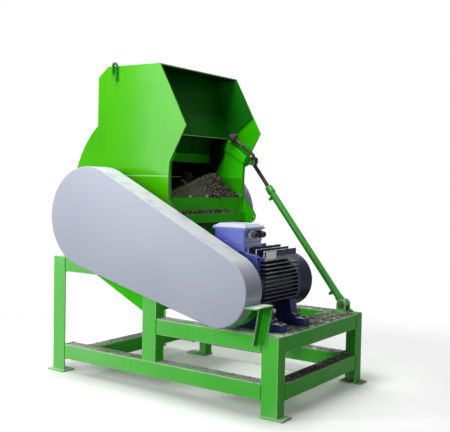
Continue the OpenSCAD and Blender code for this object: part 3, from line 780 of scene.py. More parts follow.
def bolt_recipe() -> Recipe:
    """Hexagon bolts with washers, one on each point, that stand along the attribute facing.

    Returns:
        The recipe. Its input Head is half the width of the hexagon.
    """
    recipe = Recipe("bolts")
    size = recipe.given("Head")
    parts = []
    # Sides, radius, depth and height of the middle, in heads: washer, hexagon, crown, thread.
    for sides, radius, depth, lift in (
        (20, 1.28, 0.2, 0.1), (6, 1.0, 0.62, 0.5), (20, 0.84, 0.1, 0.84), (12, 0.5, 0.34, 1.0)
    ):
        body = recipe.put(
            "GeometryNodeMeshCylinder", {"Vertices": sides, "Radius": radius, "Depth": depth}
        )
        parts.append(
            recipe.put("GeometryNodeTransform", {"Geometry": body, "Translation": (0, 0, lift)})
        )
    facing = recipe.put(
        "GeometryNodeInputNamedAttribute", {"Name": "facing"}, {"data_type": "FLOAT_VECTOR"}
    )
    stand = recipe.put("FunctionNodeAlignRotationToVector", {"Vector": facing}, {"axis": "Z"})
    about = recipe.put("ShaderNodeCombineXYZ", {2: recipe.chance(0.0, 1.0, 7)})
    turned = recipe.put(
        "FunctionNodeRotateRotation",
        {"Rotation": stand, "Rotate By": about},
        {"rotation_space": "LOCAL"},
    )
    points = recipe.put("GeometryNodeMeshToPoints", {"Mesh": recipe.source})
    return recipe.close(recipe.copies(points, recipe.joined(parts), turned, size))


def bead_recipe() -> Recipe:
    """A rippled weld bead along every edge of the mesh, as thick as the input Radius."""
    recipe = Recipe("beads")
    radius = recipe.given("Radius")
    line = recipe.put("GeometryNodeMeshToCurve", {"Mesh": recipe.source})
    even = recipe.put(
        "GeometryNodeResampleCurve", {"Curve": line, "Length": 0.005}, {"mode": "LENGTH"}
    )
    ripple = recipe.value("ShaderNodeTexNoise", {"Scale": 120.0, "Detail": 1.0})
    wide = (ripple * 1.1 + 0.5) * radius
    ring = recipe.put("GeometryNodeCurvePrimitiveCircle", {"Resolution": 7, "Radius": 1.0})
    swept = recipe.put(
        "GeometryNodeCurveToMesh",
        {"Curve": even, "Profile Curve": ring, "Scale": wide, "Fill Caps": True},
    )
    return recipe.close(recipe.put("GeometryNodeSetShadeSmooth", {"Geometry": swept}))


def grain_recipe() -> Recipe:
    """Granules strewn over the mesh's faces.

    Returns:
        The recipe. Its inputs are the Density to the square metre, the Small and the Large
        radius, the Seed, whether to Keep the mesh under the granules, and how far they Clump.
    """
    recipe = Recipe("grains")
    density, small, large, clump = map(recipe.given, ("Density", "Small", "Large", "Clump"))
    seed = recipe.given("Seed", "NodeSocketInt")
    keep = recipe.given("Keep", "NodeSocketBool")
    drift = recipe.value("ShaderNodeTexNoise", {"Scale": 16.0, "Detail": 3.0})
    gaps = 1 - (1 - drift.rise(0.42, 0.62)) * clump
    strewn = recipe.put(
        "GeometryNodeDistributePointsOnFaces",
        {"Mesh": recipe.source, "Density": gaps * density, "Seed": seed},
    )
    stone = recipe.put("GeometryNodeMeshIcoSphere", {"Radius": 1.0, "Subdivisions": 1})
    spin = recipe.put(
        "FunctionNodeRandomValue",
        {0: (0, 0, 0), 1: (6.28, 6.28, 6.28), "Seed": 3},
        {"data_type": "FLOAT_VECTOR"},
    )
    placed = recipe.copies(strewn, stone, spin, recipe.chance(small, large, seed))
    under = recipe.put(
        "GeometryNodeSwitch", {0: keep, 2: recipe.source}, {"input_type": "GEOMETRY"}
    )
    return recipe.close(recipe.joined((placed, under)))


def ring_recipe() -> Recipe:
    """Copies of one mesh round an axis along Y: Count of them round the Centre."""
    recipe = Recipe("rings")
    count = recipe.given("Count", "NodeSocketInt")
    centre = recipe.given("Centre", "NodeSocketVector")
    turn = recipe.value("GeometryNodeInputIndex") * (2 * math.pi / count)
    about = recipe.put("ShaderNodeCombineXYZ", {1: turn})
    points = recipe.put("GeometryNodePoints", {"Count": count, "Position": centre})
    return recipe.close(recipe.copies(points, recipe.source, about))


# ---- mesh code ----


def circle(middle: Vector, side: Vector, other: Vector, radius: float, count: int) -> list[Vector]:
    """Points of a circle.

    Args:
        middle: Its middle.
        side, other: Two directions across its axis.
        radius, count: Its radius and the number of points.

    Returns:
        The points, or the middle alone where there is no radius.
    """
    if radius < 1e-6:
        return [middle]
    turns = (2 * math.pi * k / count for k in range(count))
    return [middle + radius * (math.cos(t) * side + math.sin(t) * other) for t in turns]


def flat_sheet(low: Flat, high: Flat, z: float) -> bpy.types.Mesh:
    """Rectangle at one height, facing up.

    Args:
        low, high: Its lowest and its highest corner, in X and Y.
        z: Its height.

    Returns:
        The mesh.
    """
    mesh = bpy.data.meshes.new("sheet")
    (x0, y0), (x1, y1) = low, high
    mesh.from_pydata([(x0, y0, z), (x1, y0, z), (x1, y1, z), (x0, y1, z)], [], [(0, 1, 2, 3)])
    return mesh


class Sheetwork:
    """Collects solids in one mesh."""

    def __init__(self, name: str) -> None:
        """Starts an empty mesh."""
        self.name = name
        self.whole = bmesh.new()

    def _take(self, part: bmesh.types.BMesh, edge: float = 0, limit: float = 0) -> "Sheetwork":
        """Rounds a part's sharp edges and adds it to the mesh.

        Args:
            part: The part, which is used up.
            edge: How far its edges are cut back, in metres.
            limit: Angle in degrees above which an edge is cut.

        Returns:
            This mesh.
        """
        bmesh.ops.remove_doubles(part, verts=part.verts, dist=1e-6)
        bmesh.ops.recalc_face_normals(part, faces=part.faces)
        if edge > 0:
            bmesh.ops.bevel(
                part,
                geom=[e for e in part.edges if e.calc_face_angle(0) > math.radians(limit)],
                offset=edge,
                offset_type="OFFSET",
                segments=2,
                profile=0.6,
                affect="EDGES",
                clamp_overlap=True,
            )
        held = bpy.data.meshes.new("part")
        part.to_mesh(held)
        part.free()
        self.whole.from_mesh(held)
        bpy.data.meshes.remove(held)
        return self

    def block(self, low: Point, high: Point, edge: float = 0.001) -> "Sheetwork":
        """Adds a block.

        Args:
            low, high: Its lowest and its highest corner.
            edge: How far its edges are cut back, in metres.

        Returns:
            This mesh.
        """
        part = bmesh.new()
        bmesh.ops.create_cube(part, size=1)
        for vert in part.verts:
            for i in range(3):
                vert.co[i] = low[i] if vert.co[i] < 0 else high[i]
        return self._take(part, edge, 30)

    def plate(self, outline: Sequence[Flat], y0: float, y1: float) -> "Sheetwork":
        """Adds a plate that lies in a plane of constant Y.

        Args:
            outline: Its corners in X and Z.
            y0, y1: Where its two faces lie.

        Returns:
            This mesh.
        """
        part = bmesh.new()
        face = part.faces.new([part.verts.new((x, y0, z)) for x, z in outline])
        grown = bmesh.ops.extrude_face_region(part, geom=[face])
        moved = [v for v in grown["geom"] if isinstance(v, bmesh.types.BMVert)]
        bmesh.ops.translate(part, verts=moved, vec=(0, y1 - y0, 0))
        return self._take(part, 0.001, 25)

    def loft(self, rings: Sequence[Sequence[Point]], caps: bool = True) -> "Sheetwork":
        """Adds a skin over rings of points.

        Args:
            rings: The rings, of equal count or of one point.
            caps: Whether the first and the last ring are filled.

        Returns:
            This mesh.
        """
        part = bmesh.new()
        rows = [[part.verts.new(p) for p in ring] for ring in rings]
        for first, last in zip(rows, rows[1:]):
            for k in range(max(len(row) for row in rows)):
                ends = [first[k % len(first)], first[(k + 1) % len(first)]]
                ends += [last[(k + 1) % len(last)], last[k % len(last)]]
                corners = list(dict.fromkeys(ends))
                if len(corners) > 2:
                    part.faces.new(corners)
        if caps:
            part.faces.new(rows[0])
            part.faces.new(rows[-1])
        return self._take(part)

    def turned(
        self, centre: Sequence[float], axis: Sequence[float], profile: Sequence[Flat], sides: int
    ) -> "Sheetwork":
        """Adds a turned solid.

        Args:
            centre: A point on the axis, where the profile's distances start.
            axis: Direction of the axis.
            profile: Distance along the axis and radius, in order. It starts and ends on the
                axis, or where it started.
            sides: Faces round the axis.

        Returns:
            This mesh.
        """
        line = Vector(axis).normalized()
        side = line.orthogonal().normalized()
        other = line.cross(side)
        rings = [
            circle(Vector(centre) + along * line, side, other, radius, sides)
            for along, radius in profile
        ]
        return self.loft(rings, False)

    def tube(self, path: Sequence[Point], radius: float, sides: int) -> "Sheetwork":
        """Adds a round bar.

        Args:
            path: Points along its middle line.
            radius, sides: Its radius, and the faces round it.

        Returns:
            This mesh.
        """
        spots = [Vector(p) for p in path]
        side = (spots[1] - spots[0]).orthogonal().normalized()
        rings = []
        for i, spot in enumerate(spots):
            ahead = (spots[min(i + 1, len(spots) - 1)] - spots[max(i - 1, 0)]).normalized()
            side = (side - side.dot(ahead) * ahead).normalized()
            rings.append(circle(spot, side, ahead.cross(side), radius, sides))
        return self.loft(rings)

    def made(
        self, paint: bpy.types.Material, slot: Slot, body: Body = Body.ROOT, crease: float = 32
    ) -> bpy.types.Object:
        """Turns the mesh into a painted piece on its body.

        Args:
            paint, body: Its finish and the body it rides on. slot: Not used.
            crease: Angle in degrees above which an edge stays sharp.

        Returns:
            The piece.
        """
        for face in self.whole.faces:
            face.smooth = True
        for edge in self.whole.edges:
            edge.smooth = edge.calc_face_angle(math.pi) < math.radians(crease)
        mesh = bpy.data.meshes.new(self.name)
        self.whole.to_mesh(mesh)
        self.whole.free()
        mesh.materials.append(paint)
        return seat(link(self.name, mesh), body)


def seat(piece: bpy.types.Object, body: Body = Body.ROOT) -> bpy.types.Object:
    """Puts a piece on its body and reports it.

    Args:
        piece: The piece.
        body: The body it rides on.

    Returns:
        The same piece.
    """
    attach(piece, body.value)
    count = sum(len(p.vertices) - 2 for p in piece.data.polygons)
    LOG.info("%-24s %-10s %7d triangles", piece.name, body.value, count)
    return piece


@dataclass
class Workshop:
    """The finishes and recipes that every sub-assembly draws on."""

    paint: Paintshop
    bolts: Recipe
    beads: Recipe
    grains: Recipe
    rings: Recipe

    def bolt(
        self,
        name: str,
        spots: Sequence[Spot],
        head: float,
        paint: bpy.types.Material,
        body: Body = Body.ROOT,
    ) -> None:
        """Fits a bolt at each spot.

        Args:
            name: Name of the piece.
            spots: Where each one stands and the direction it faces.
            head: Half the width of its hexagon.
            paint, body: Their finish and the body they ride on.
        """
        mesh = bpy.data.meshes.new(name)
        mesh.from_pydata([place for place, _ in spots], [], [])
        facing = mesh.attributes.new("facing", "FLOAT_VECTOR", "POINT")
        for held, (_, way) in zip(facing.data, spots):
            held.vector = way
        seat(self.bolts.bake(name, mesh, paint, Head=head), body)

    def weld(
        self,
        name: str,
        lines: Sequence[Sequence[Point]],
        radius: float,
        paint: bpy.types.Material,
        slot: Slot = Slot.HOUSING,
        body: Body = Body.ROOT,
    ) -> None:
        """Runs a weld bead along each line.

        Args:
            name: Name of the piece.
            lines: The lines, each from its points.
            radius: Mean radius of the bead.
            paint, body: Its finish and the body it rides on. slot: Not used.
        """
        verts: list[Point] = []
        edges: list[tuple[int, int]] = []
        for line in lines:
            start = len(verts)
            verts += list(line)
            edges += [(i, i + 1) for i in range(start, len(verts) - 1)]
        mesh = bpy.data.meshes.new(name)
        mesh.from_pydata(verts, edges, [])
        seat(self.beads.bake(name, mesh, paint, Radius=radius), body)

    def strew(
        self,
        name: str,
        mesh: bpy.types.Mesh,
        density: float,
        sizes: Flat,
        seed: int,
        clump: float = 0.0,
        keep: bool = False,
    ) -> None:
        """Strews granules over a mesh.

        Args:
            name: Name of the piece.
            mesh, keep: The faces that they lie on, and whether these stay under them.
            density, sizes: Granules to the square metre, and their smallest and largest radius.
            seed, clump: Seed of the scatter, and how much they gather in drifts, from 0 to 1.
        """
        inputs = {"Density": density, "Small": sizes[0], "Large": sizes[1], "Clump": clump}
        grains = self.paint.granules
        seat(self.grains.bake(name, mesh, grains, Seed=seed, Keep=keep, **inputs))


# ---- sub-assemblies ----


class Way(Enum):
    """Directions that rails run in: along the machine or across it."""

    ALONG = (1.0, 0.0)
    ACROSS = (0.0, 1.0)


@dataclass(frozen=True)
class Rail:
    """One square tube of the stand.

    Attributes:
        way: The direction it runs in.
        place: Its middle line's place across that direction.
        start: Where it starts.
        end: Where it ends.
        top: Height of its upper face.
        litter: Granules to the square metre on that face.
        width: Its width.
        corner: Radius of its corners.
    """

    way: Way
    place: float
    start: float
    end: float
    top: float
    litter: float
    width: float = 0.1
    corner: float = 0.008

    def spot(self, along: float, side: float, z: float) -> Point:
        """A point from its distance along the tube and off its middle line."""
        x, y = self.way.value
        return x * along + y * (self.place + side), y * along + x * (self.place + side), z

    def ring(self, along: float) -> list[Point]:
        """Closed line round the tube.

        Args:
            along: Its distance along the tube.

        Returns:
            The line's points.
        """
        half, mid = self.width / 2 + 0.0005, self.top - self.width / 2
        flat = half - self.corner
        turns = [(-flat, -half), (flat, -half), (half, -flat), (half, flat)]
        turns += [(flat, half), (-flat, half), (-half, flat), (-half, -flat), (-flat, -half)]
        return [self.spot(along, a, mid + b) for a, b in turns]

    def top_face(self) -> bpy.types.Mesh:
        """The flat part of its upper face."""
        side = self.width / 2 - self.corner
        low, high = self.spot(self.start, -side, self.top), self.spot(self.end, side, self.top)
        return flat_sheet(low[:2], high[:2], self.top)


@dataclass
class Stand:
    """The welded stand: its beads, and the granules that lie on its rails and feet.

    Attributes:
        upper, motor, lower, foot: Heights of the three tiers of rails and of the foot plates.
        feet: Corners of the foot plates that litter lies on.
        setback: How far a bead's middle lies inside a rail's end.
        bead: Radius of the beads.
        grains: Smallest and largest radius of the granules on the rails.
    """

    upper: float = 0.8
    motor: float = 0.47
    lower: float = 0.195
    foot: float = 0.01
    feet: tuple[Flat, ...] = (
        (-0.955, -0.559), (-0.955, 0.449), (0.8, -0.559), (0.8, 0.449), (-0.512, 0.449)
    )
    setback: float = 0.0015
    bead: float = 0.0038
    grains: Flat = (0.0018, 0.0042)

    def rails(self) -> list[Rail]:
        """Every rail of the stand."""
        up, mid, low = self.upper, self.motor, self.lower
        return [
            Rail(Way.ALONG, -0.495, -0.802, -0.092, up, 800),
            Rail(Way.ALONG, 0.495, -0.802, -0.092, up, 800),
            Rail(Way.ACROSS, -0.862, -0.465, 0.465, up, 1500),
            Rail(Way.ACROSS, -0.032, -0.465, 0.465, up, 1500),
            Rail(Way.ALONG, -0.495, 0.018, 0.802, mid, 1200),
            Rail(Way.ALONG, 0.495, -0.339, 0.802, mid, 14000),
            Rail(Way.ACROSS, 0.436, -0.445, 0.445, mid, 12000),
            Rail(Way.ACROSS, 0.746, -0.445, 0.445, mid, 14000),
            Rail(Way.ACROSS, 0.862, -0.465, 0.465, mid, 18000),
            Rail(Way.ALONG, -0.495, -0.802, 0.802, low, 1400),
            Rail(Way.ALONG, 0.495, -0.802, -0.449, low, 1400),
            Rail(Way.ALONG, 0.495, -0.339, 0.802, low, 1800),
            Rail(Way.ACROSS, -0.622, -0.445, 0.445, low, 2500),
            Rail(Way.ACROSS, 0.862, -0.465, 0.465, low, 20000),
        ]

    def build(self, shop: Workshop) -> None:
        """Welds the rails and strews the litter."""
        rails = self.rails()
        loops = [rail.ring(rail.start + self.setback) for rail in rails]
        loops += [rail.ring(rail.end - self.setback) for rail in rails]
        shop.weld("stand_welds", loops, self.bead, shop.paint.weld, Slot.FRAME)
        for k, rail in enumerate(rails):
            face = rail.top_face()
            shop.strew(f"rail_litter_{k}", face, rail.litter, self.grains, k, 0.7)
        ledge = flat_sheet((-0.5, -0.535), (-0.1, -0.455), self.lower)
        shop.strew("spill_on_front_rail", ledge, 7000, (0.0015, 0.0038), 31, 0.8)
        for k, (x, y) in enumerate(self.feet):
            plate = flat_sheet((x + 0.006, y + 0.006), (x + 0.14, y + 0.1), self.foot)
            shop.strew(f"foot_litter_{k}", plate, 2500, (0.0015, 0.0035), 40 + k, 0.6)


@dataclass
class Housing:
    """The lower housing: its seam, bearings and bolts.

    Attributes:
        strip: Underside and top of the strips in the seam.
        rear: Rear end of the seam's strips.
        lobe: Middle of the round lobe at the front.
        flange: Places of the bolts along each lower flange.
        base: Height of the welds along the side plates' foot.
    """

    strip: Flat = (SEAM - 0.001, SEAM + 0.0047)
    rear: float = -0.812
    lobe: Flat = (0.068, 1.090)
    flange: tuple[float, ...] = (-0.795, -0.715, -0.635, -0.23, -0.133, -0.036)
    base: float = 0.8135

    def strips(self, work: Sheetwork, x: Flat, y: Flat, edge: float = 0.001) -> None:
        """Adds a strip to the seam on both sides.

        Args:
            work: The mesh it goes to.
            x: Its rear and its front end.
            y: Its outer and its inner face, as distances from the middle.
            edge: How far its edges are cut back.
        """
        low, high = self.strip
        for s in SIDES:
            near, far = sorted((s * y[0], s * y[1]))
            work.block((x[0], near, low), (x[1], far, high), edge)

    def seal(self, shop: Workshop) -> None:
        """Lays the strips that close the seam."""
        p = shop.paint
        low, high = self.strip
        seal, backing, inner = map(Sheetwork, ("seam_seal", "seam_backing", "wear_plate_seal"))
        # The pale outer strip is a painted highlight along the seam.
        self.strips(seal, (self.rear, 0.0105), (0.4338, 0.4308))
        self.strips(backing, (self.rear, 0.0095), (0.4305, 0.4252))
        backing.block((-0.8215, -0.42, low), (-0.8155, 0.42, high))
        self.strips(inner, (-0.234, 0.0095), (0.4236, 0.4046), 0.0002)
        for strip, finish in ((seal, p.seal), (backing, p.gland), (inner, p.wear)):
            strip.made(finish, Slot.HOUSING)

    def build(self, shop: Workshop) -> None:
        """Lays the seam, fits the housing's bolts and welds its plates."""
        p = shop.paint
        self.seal(shop)
        spots: list[Spot] = []
        for s in SIDES:
            spots += [((x, s * 0.482, 0.812), UP) for x in self.flange]
            spots += [((SHAFT[0] + dx, s * 0.495, 1.0155), UP) for dx in (-0.122, 0.122)]
        shop.bolt("housing_bolts", spots, 0.013, p.zinc)
        x, z = self.lobe
        shop.bolt("lobe_bolts", [((x, s * HALF, z), (0, s, 0)) for s in SIDES], 0.012, p.bearing)
        clamps = [((x + 0.022, s * HALF, z - 0.022), (0, s, 0)) for s in SIDES]
        shop.bolt("lobe_clamps", clamps, 0.009, p.zinc)
        lip = [((-0.012, y, 1.226), (-0.1, 0, 1.0)) for y in (-0.180, 0.003)]
        shop.bolt("lip_bolts", lip, 0.012, p.seal)
        ledge = [((0.019, y, 1.116), UP) for y in (-0.0775, -0.0066, 0.080, 0.309, 0.357)]
        shop.bolt("ledge_bolts", ledge, 0.009, p.crust)
        beads = []
        for s in SIDES:
            y = s * (HALF + 0.001)
            for run in ((-0.8255, -0.607), (-0.257, -0.009)):
                beads.append([(x, y, self.base) for x in run])
            beads.append([(0.0025, s * CHAMBER, z) for z in (1.118, 1.3)])
        shop.weld("housing_welds", beads, 0.004, p.hood)


@dataclass
class Heap:
    """Granules that fill the mouth and lie on its ledge.

    Attributes:
        lip_z, ledge_z: Height of the mouth's lip and of the ledge under it.
        front_x, back_x: Front and rear edge of the heap.
        peak, peak_y: Height of its crest, and where across the mouth the crest lies.
    """

    lip_z: float = 1.225
    front_x: float = -0.004
    back_x: float = -0.3
    peak: float = 1.387
    peak_y: float = 0.19
    ledge_z: float = 1.1165

    def height(self, x: float, y: float, rough: random.Random) -> float:
        """Top of the heap over a point of the mouth.

        Args:
            x, y: Place along the machine and across the mouth.
            rough: Draws the unevenness.

        Returns:
            The height.
        """
        near = (y + CHAMBER) / (self.peak_y + CHAMBER)
        far = (CHAMBER - y) / (CHAMBER - self.peak_y)
        share = max(0.0, min(near, 0.25 + far * 0.75, 1.0))
        crest = self.lip_z + 0.006 + (self.peak - self.lip_z) * share
        climb = min(1.0, max(0.0, (self.front_x - x) / 0.085))
        top = self.lip_z + (crest - self.lip_z) * climb**0.8
        top -= max(0.0, -0.1 - x) * 0.55
        coarse = 0.004 if y > 0.14 else 0.0012
        return max(top, self.lip_z - 0.02) + rough.uniform(-coarse, coarse)

    def grid(self, ends: Flat, sides: Flat, steps: tuple[int, int], seed: int) -> list[list[Point]]:
        """Points on the heap's top, row by row.

        Args:
            ends, sides: First and last place along the machine and across it.
            steps: Steps along and across.
            seed: Seed of the unevenness.

        Returns:
            One list of points for each place along the machine.
        """
        rough = random.Random(seed)
        rows = []
        for i in range(steps[0] + 1):
            x = ends[0] + (ends[1] - ends[0]) * i / steps[0]
            across = (sides[0] + (sides[1] - sides[0]) * j / steps[1] for j in range(steps[1] + 1))
            rows.append([(x, y, self.height(x, y, rough)) for y in across])
        return rows

    def under(self, x: float) -> float:
        """Underside of the heap, just above the ramp and the rotor."""
        return self.lip_z - 0.012 + max(-0.075, x * 0.82)

    def surface(self) -> bpy.types.Mesh:
        """Closed mesh of the heap."""
        columns = 40
        part = bmesh.new()
        ends = (self.front_x, self.back_x)
        points = self.grid(ends, (-CHAMBER, CHAMBER), (columns, 88), 11)
        grid = [[part.verts.new(p) for p in row] for row in points]
        for first, last in zip(grid, grid[1:]):
            for j in range(len(first) - 1):
                part.faces.new([first[j], first[j + 1], last[j + 1], last[j]])
        rim = grid[0] + [grid[i][-1] for i in range(1, columns + 1)]
        rim += grid[-1][-2::-1] + [grid[i][0] for i in range(columns - 1, 0, -1)]
        floor = [part.verts.new((v.co.x, v.co.y, self.under(v.co.x))) for v in rim]
        for k in range(len(rim)):
            n = (k + 1) % len(rim)
            part.faces.new([rim[n], rim[k], floor[k], floor[n]])
        part.faces.new(floor)
        bmesh.ops.recalc_face_normals(part, faces=part.faces)
        for face in part.faces:
            face.smooth = True
        mesh = bpy.data.meshes.new("heap")
        part.to_mesh(mesh)
        part.free()
        return mesh

    def slope(self, y0: float, y1: float) -> bpy.types.Mesh:
        """Open sheet over the front of the heap.

        Args:
            y0, y1: Where it starts and ends across the mouth.

        Returns:
            The mesh.
        """
        steps = 24
        rows = self.grid((self.front_x, -0.2), (y0, y1), (steps, steps), 5)
        wide = steps + 1
        firsts = [i * wide + j for i in range(steps) for j in range(steps)]
        mesh = bpy.data.meshes.new("slope")
        mesh.from_pydata(sum(rows, []), [], [(n, n + 1, n + wide + 1, n + wide) for n in firsts])
        return mesh

    def build(self, shop: Workshop) -> None:
        """Pours the heap and strews its granules."""
        z, lip = self.ledge_z, self.lip_z
        shop.strew("granule_heap", self.surface(), 0.0, (0.001, 0.001), 4, keep=True)
        shop.strew("coarse_granules", self.slope(0.0, 0.398), 36000, (0.005, 0.0105), 4)
        shop.strew("fine_granules", self.slope(-0.398, 0.2), 30000, (0.0015, 0.004), 6, 0.8)
        ledge = flat_sheet((0.004, -0.41), (0.030, 0.41), z - 0.0003)
        shop.strew("ledge_granules", ledge, 12000, (0.002, 0.0055), 9, 0.9)
        for level in range(5):
            layer = flat_sheet((0.003, -0.3), (0.024 - 0.003 * level, 0.24), z + 0.005 * level)
            shop.strew(f"ledge_drift_{level}", layer, 46000, (0.003, 0.0085), 12 + level, 1.0)
        spill = flat_sheet((-0.012, 0.1), (0.003, 0.3), lip)
        shop.strew("lip_spill", spill, 90000, (0.0025, 0.006), 14, 0.6)
        chute = flat_sheet((0.0025, -0.41), (0.01, 0.41), z)
        shop.strew("ledge_dust", chute, 60000, (0.001, 0.0025), 17)


def polar(middle: Flat, radius: float, turn: float, y: float) -> Point:
    """Point round an axis along Y, by its distance and its angle from the X axis."""
    return middle[0] + radius * math.cos(turn), y, middle[1] + radius * math.sin(turn)


def rounded(centre: Flat, size: Flat, radius: float, z: float) -> list[Point]:
    """Ring of points round a rectangle with round corners.

    Args:
        centre, size: Its middle, and its width and depth.
        radius, z: Radius of its corners, and its height.

    Returns:
        Five points for each corner.
    """
    ring: list[Point] = []
    for k, (a, b) in enumerate(((1, 1), (-1, 1), (-1, -1), (1, -1))):
        x = centre[0] + a * (size[0] / 2 - radius)
        y = centre[1] + b * (size[1] / 2 - radius)
        for n in range(5):
            t = math.pi / 2 * (k + n / 4)
            ring.append((x + radius * math.cos(t), y + radius * math.sin(t), z))
    return ring


@dataclass
class BeltGuard:
    """The long guard over the belts: a folded front, a rim and its seam.

    Attributes:
        big, small: Radius of its round end at the rotor and at the motor.
        front, back: Where its front lies and where its rim ends.
        sheet, fold: Thickness of its sheet, and radius of the fold between front and rim.
        crease: Angle in degrees above which an edge stays sharp.
    """

    big: float = 0.325
    small: float = 0.209
    front: float = -0.711
    back: float = -0.551
    sheet: float = 0.004
    fold: float = 0.007
    crease: float = 28

    def outline(self, inset: float, y: float) -> list[Point]:
        """Ring of points round the guard.

        Args:
            inset, y: How far it lies inside the rim, and its depth.

        Returns:
            The points.
        """
        dx, dz = MOTOR_AXIS[0] - SHAFT[0], MOTOR_AXIS[1] - SHAFT[1]
        slope = math.atan2(dz, dx)
        swing = math.acos((self.big - self.small) / math.hypot(dx, dz))
        ring: list[Point] = []
        for centre, radius, start, stop, steps in (
            (SHAFT, self.big, slope + swing, slope - swing + 2 * math.pi, 64),
            (MOTOR_AXIS, self.small, slope - swing, slope + swing, 56),
        ):
            turns = (start + (stop - start) * k / steps for k in range(steps + 1))
            ring += [polar(centre, radius - inset, t, y) for t in turns]
        return ring

    def build(self, shop: Workshop) -> None:
        """Folds the guard and welds its seam."""
        rings = []
        for k in range(5):
            t = math.pi / 2 * k / 4
            depth = self.front + self.fold * (1 - math.cos(t))
            rings.append(self.outline(self.fold * (1 - math.sin(t)), depth))
        rings.append(self.outline(0, self.back))
        rings.append(self.outline(self.sheet, self.back))
        rings.append(self.outline(self.sheet, self.front + self.sheet + 0.002))
        guard = Sheetwork("belt_guard_skin").loft(rings)
        skin = guard.made(shop.paint.guard, Slot.GUARD, crease=self.crease)
        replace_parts(skin, "belt_guard")
        x, _, z = polar(MOTOR_AXIS, self.small, math.radians(-8), 0)
        starts = [0.018 * k for k in range(8)]
        stitches = [[(x, self.front + y + at, z) for y in (0.014, 0.025)] for at in starts]
        shop.weld("guard_seam", stitches, 0.003, shop.paint.zinc, Slot.GUARD)


@dataclass
class FarGuard:
    """The round guard at the machine's far side.

    Attributes:
        radius, hole: Its outer radius and that of its opening for the shaft.
        back, front: Where it meets the housing and where its face lies.
        sheet, fold: Thickness of its sheet, and how far its edge is folded in.
        crease: Angle in degrees above which an edge stays sharp.
    """

    radius: float = 0.35
    back: float = 0.551
    front: float = 0.711
    sheet: float = 0.004
    fold: float = 0.007
    hole: float = 0.06
    crease: float = 28

    def build(self, shop: Workshop) -> None:
        """Turns the guard's skin and fits its screws."""
        deep = self.front - self.back
        r, t, fold, hole = self.radius, self.sheet, self.fold, self.hole
        profile = [(deep, 0), (deep, r - fold), (deep - 0.002, r - 0.002), (deep - fold, r)]
        profile += [(fold, r), (0.002, r - 0.002), (0, r - fold), (0, hole)]
        profile += [(t, hole), (t, r - t), (deep - t, r - t), (deep - t, 0)]
        centre = (SHAFT[0], self.back, SHAFT[1])
        skin = Sheetwork("far_guard_skin").turned(centre, ACROSS, profile, 96)
        piece = skin.made(shop.paint.guard, Slot.GUARD, crease=self.crease)
        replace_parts(piece, "far_guard")
        turns = [math.pi / 3 * k + 0.26 for k in range(6)]
        screws = [(polar(SHAFT, r, a, self.back + 0.022), polar((0, 0), 1, a, 0)) for a in turns]
        shop.bolt("far_guard_screws", screws, 0.006, shop.paint.zinc)


@dataclass
class TerminalBox:
    """The motor's terminal box with its lid, screws and glands.

    Attributes:
        centre: Its middle.
        cast: Width, depth, corner radius and height of each ring of the box.
        crown: The same of the lid's crown.
        gland_z: Height of the cable glands.
        glands: Where the two glands lie, from the box's middle.
    """

    centre: Flat = (0.532, -0.399)
    cast: tuple[tuple[float, ...], ...] = (
        (0.211, 0.196, 0.012, 0.931),
        (0.211, 0.196, 0.012, 0.982),
        (0.206, 0.191, 0.010, 0.984),
        (0.215, 0.200, 0.012, 0.987),
        (0.215, 0.200, 0.012, 1.054),
        (0.244, 0.213, 0.013, 1.056),
        (0.247, 0.216, 0.014, 1.059),
        (0.247, 0.216, 0.014, 1.067),
        (0.243, 0.212, 0.013, 1.070),
    )
    crown: tuple[tuple[float, ...], ...] = (
        (0.234, 0.203, 0.012, 1.0695),
        (0.232, 0.201, 0.012, 1.072),
        (0.192, 0.161, 0.012, 1.087),
        (0.184, 0.153, 0.010, 1.090),
    )
    gland_z: float = 1.026
    glands: Flat = (-0.032, 0.06)

    def casting(
        self, name: str, steps: Iterable[Sequence[float]], paint: bpy.types.Material
    ) -> bpy.types.Object:
        """Casts a part with round corners.

        Args:
            name: Name of the piece.
            steps: Width, depth, corner radius and height of each ring.
            paint: Its finish.

        Returns:
            The piece.
        """
        rings = [rounded(self.centre, (w, d), r, z) for w, d, r, z in steps]
        return Sheetwork(name).loft(rings).made(paint, Slot.MOTOR, crease=24)

    def build(self, shop: Workshop) -> None:
        """Casts the box and fits its lid and glands."""
        x, y = self.centre
        p = shop.paint
        # The crown's pale finish is a painted reflection.
        self.casting("terminal_box_crown", self.crown, p.lid)
        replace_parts(self.casting("terminal_box_cast", self.cast, p.box), "terminal_box")
        lid = [((x + a * 0.110, y + b * 0.094, 1.0705), UP) for a in SIDES for b in SIDES]
        shop.bolt("lid_screws", lid, 0.0062, p.zinc)
        cap = [(0, 0), (0, 0.012), (0.023, 0.012), (0.024, 0)]
        plug = Sheetwork("lid_plug").turned((x - 0.075, y + 0.086, 1.066), UP, cap, 20)
        plug.made(p.zinc, Slot.BARE)
        names = (("gland_ring", 0.029, p.zinc), ("gland_nut", 0.0235, p.gland))
        for dy, (name, wide, finish) in zip(self.glands, names):
            profile = [(0, 0), (0, wide), (0.014, wide), (0.016, wide - 0.004), (0.016, 0)]
            nut = Sheetwork(name).turned((x + 0.105, y + dy, self.gland_z), ALONG, profile, 6)
            nut.made(finish, Slot.MOTOR, crease=20)
        profile = [(0, 0), (0, 0.0195), (0.024, 0.0195), (0.031, 0.015), (0.032, 0.0095)]
        profile += [(0.018, 0.009), (0.018, 0)]
        glands = Sheetwork("cable_glands")
        for dy in self.glands:
            glands.turned((x + 0.117, y + dy, self.gland_z), ALONG, profile, 24)
        glands.made(p.gland, Slot.MOTOR)


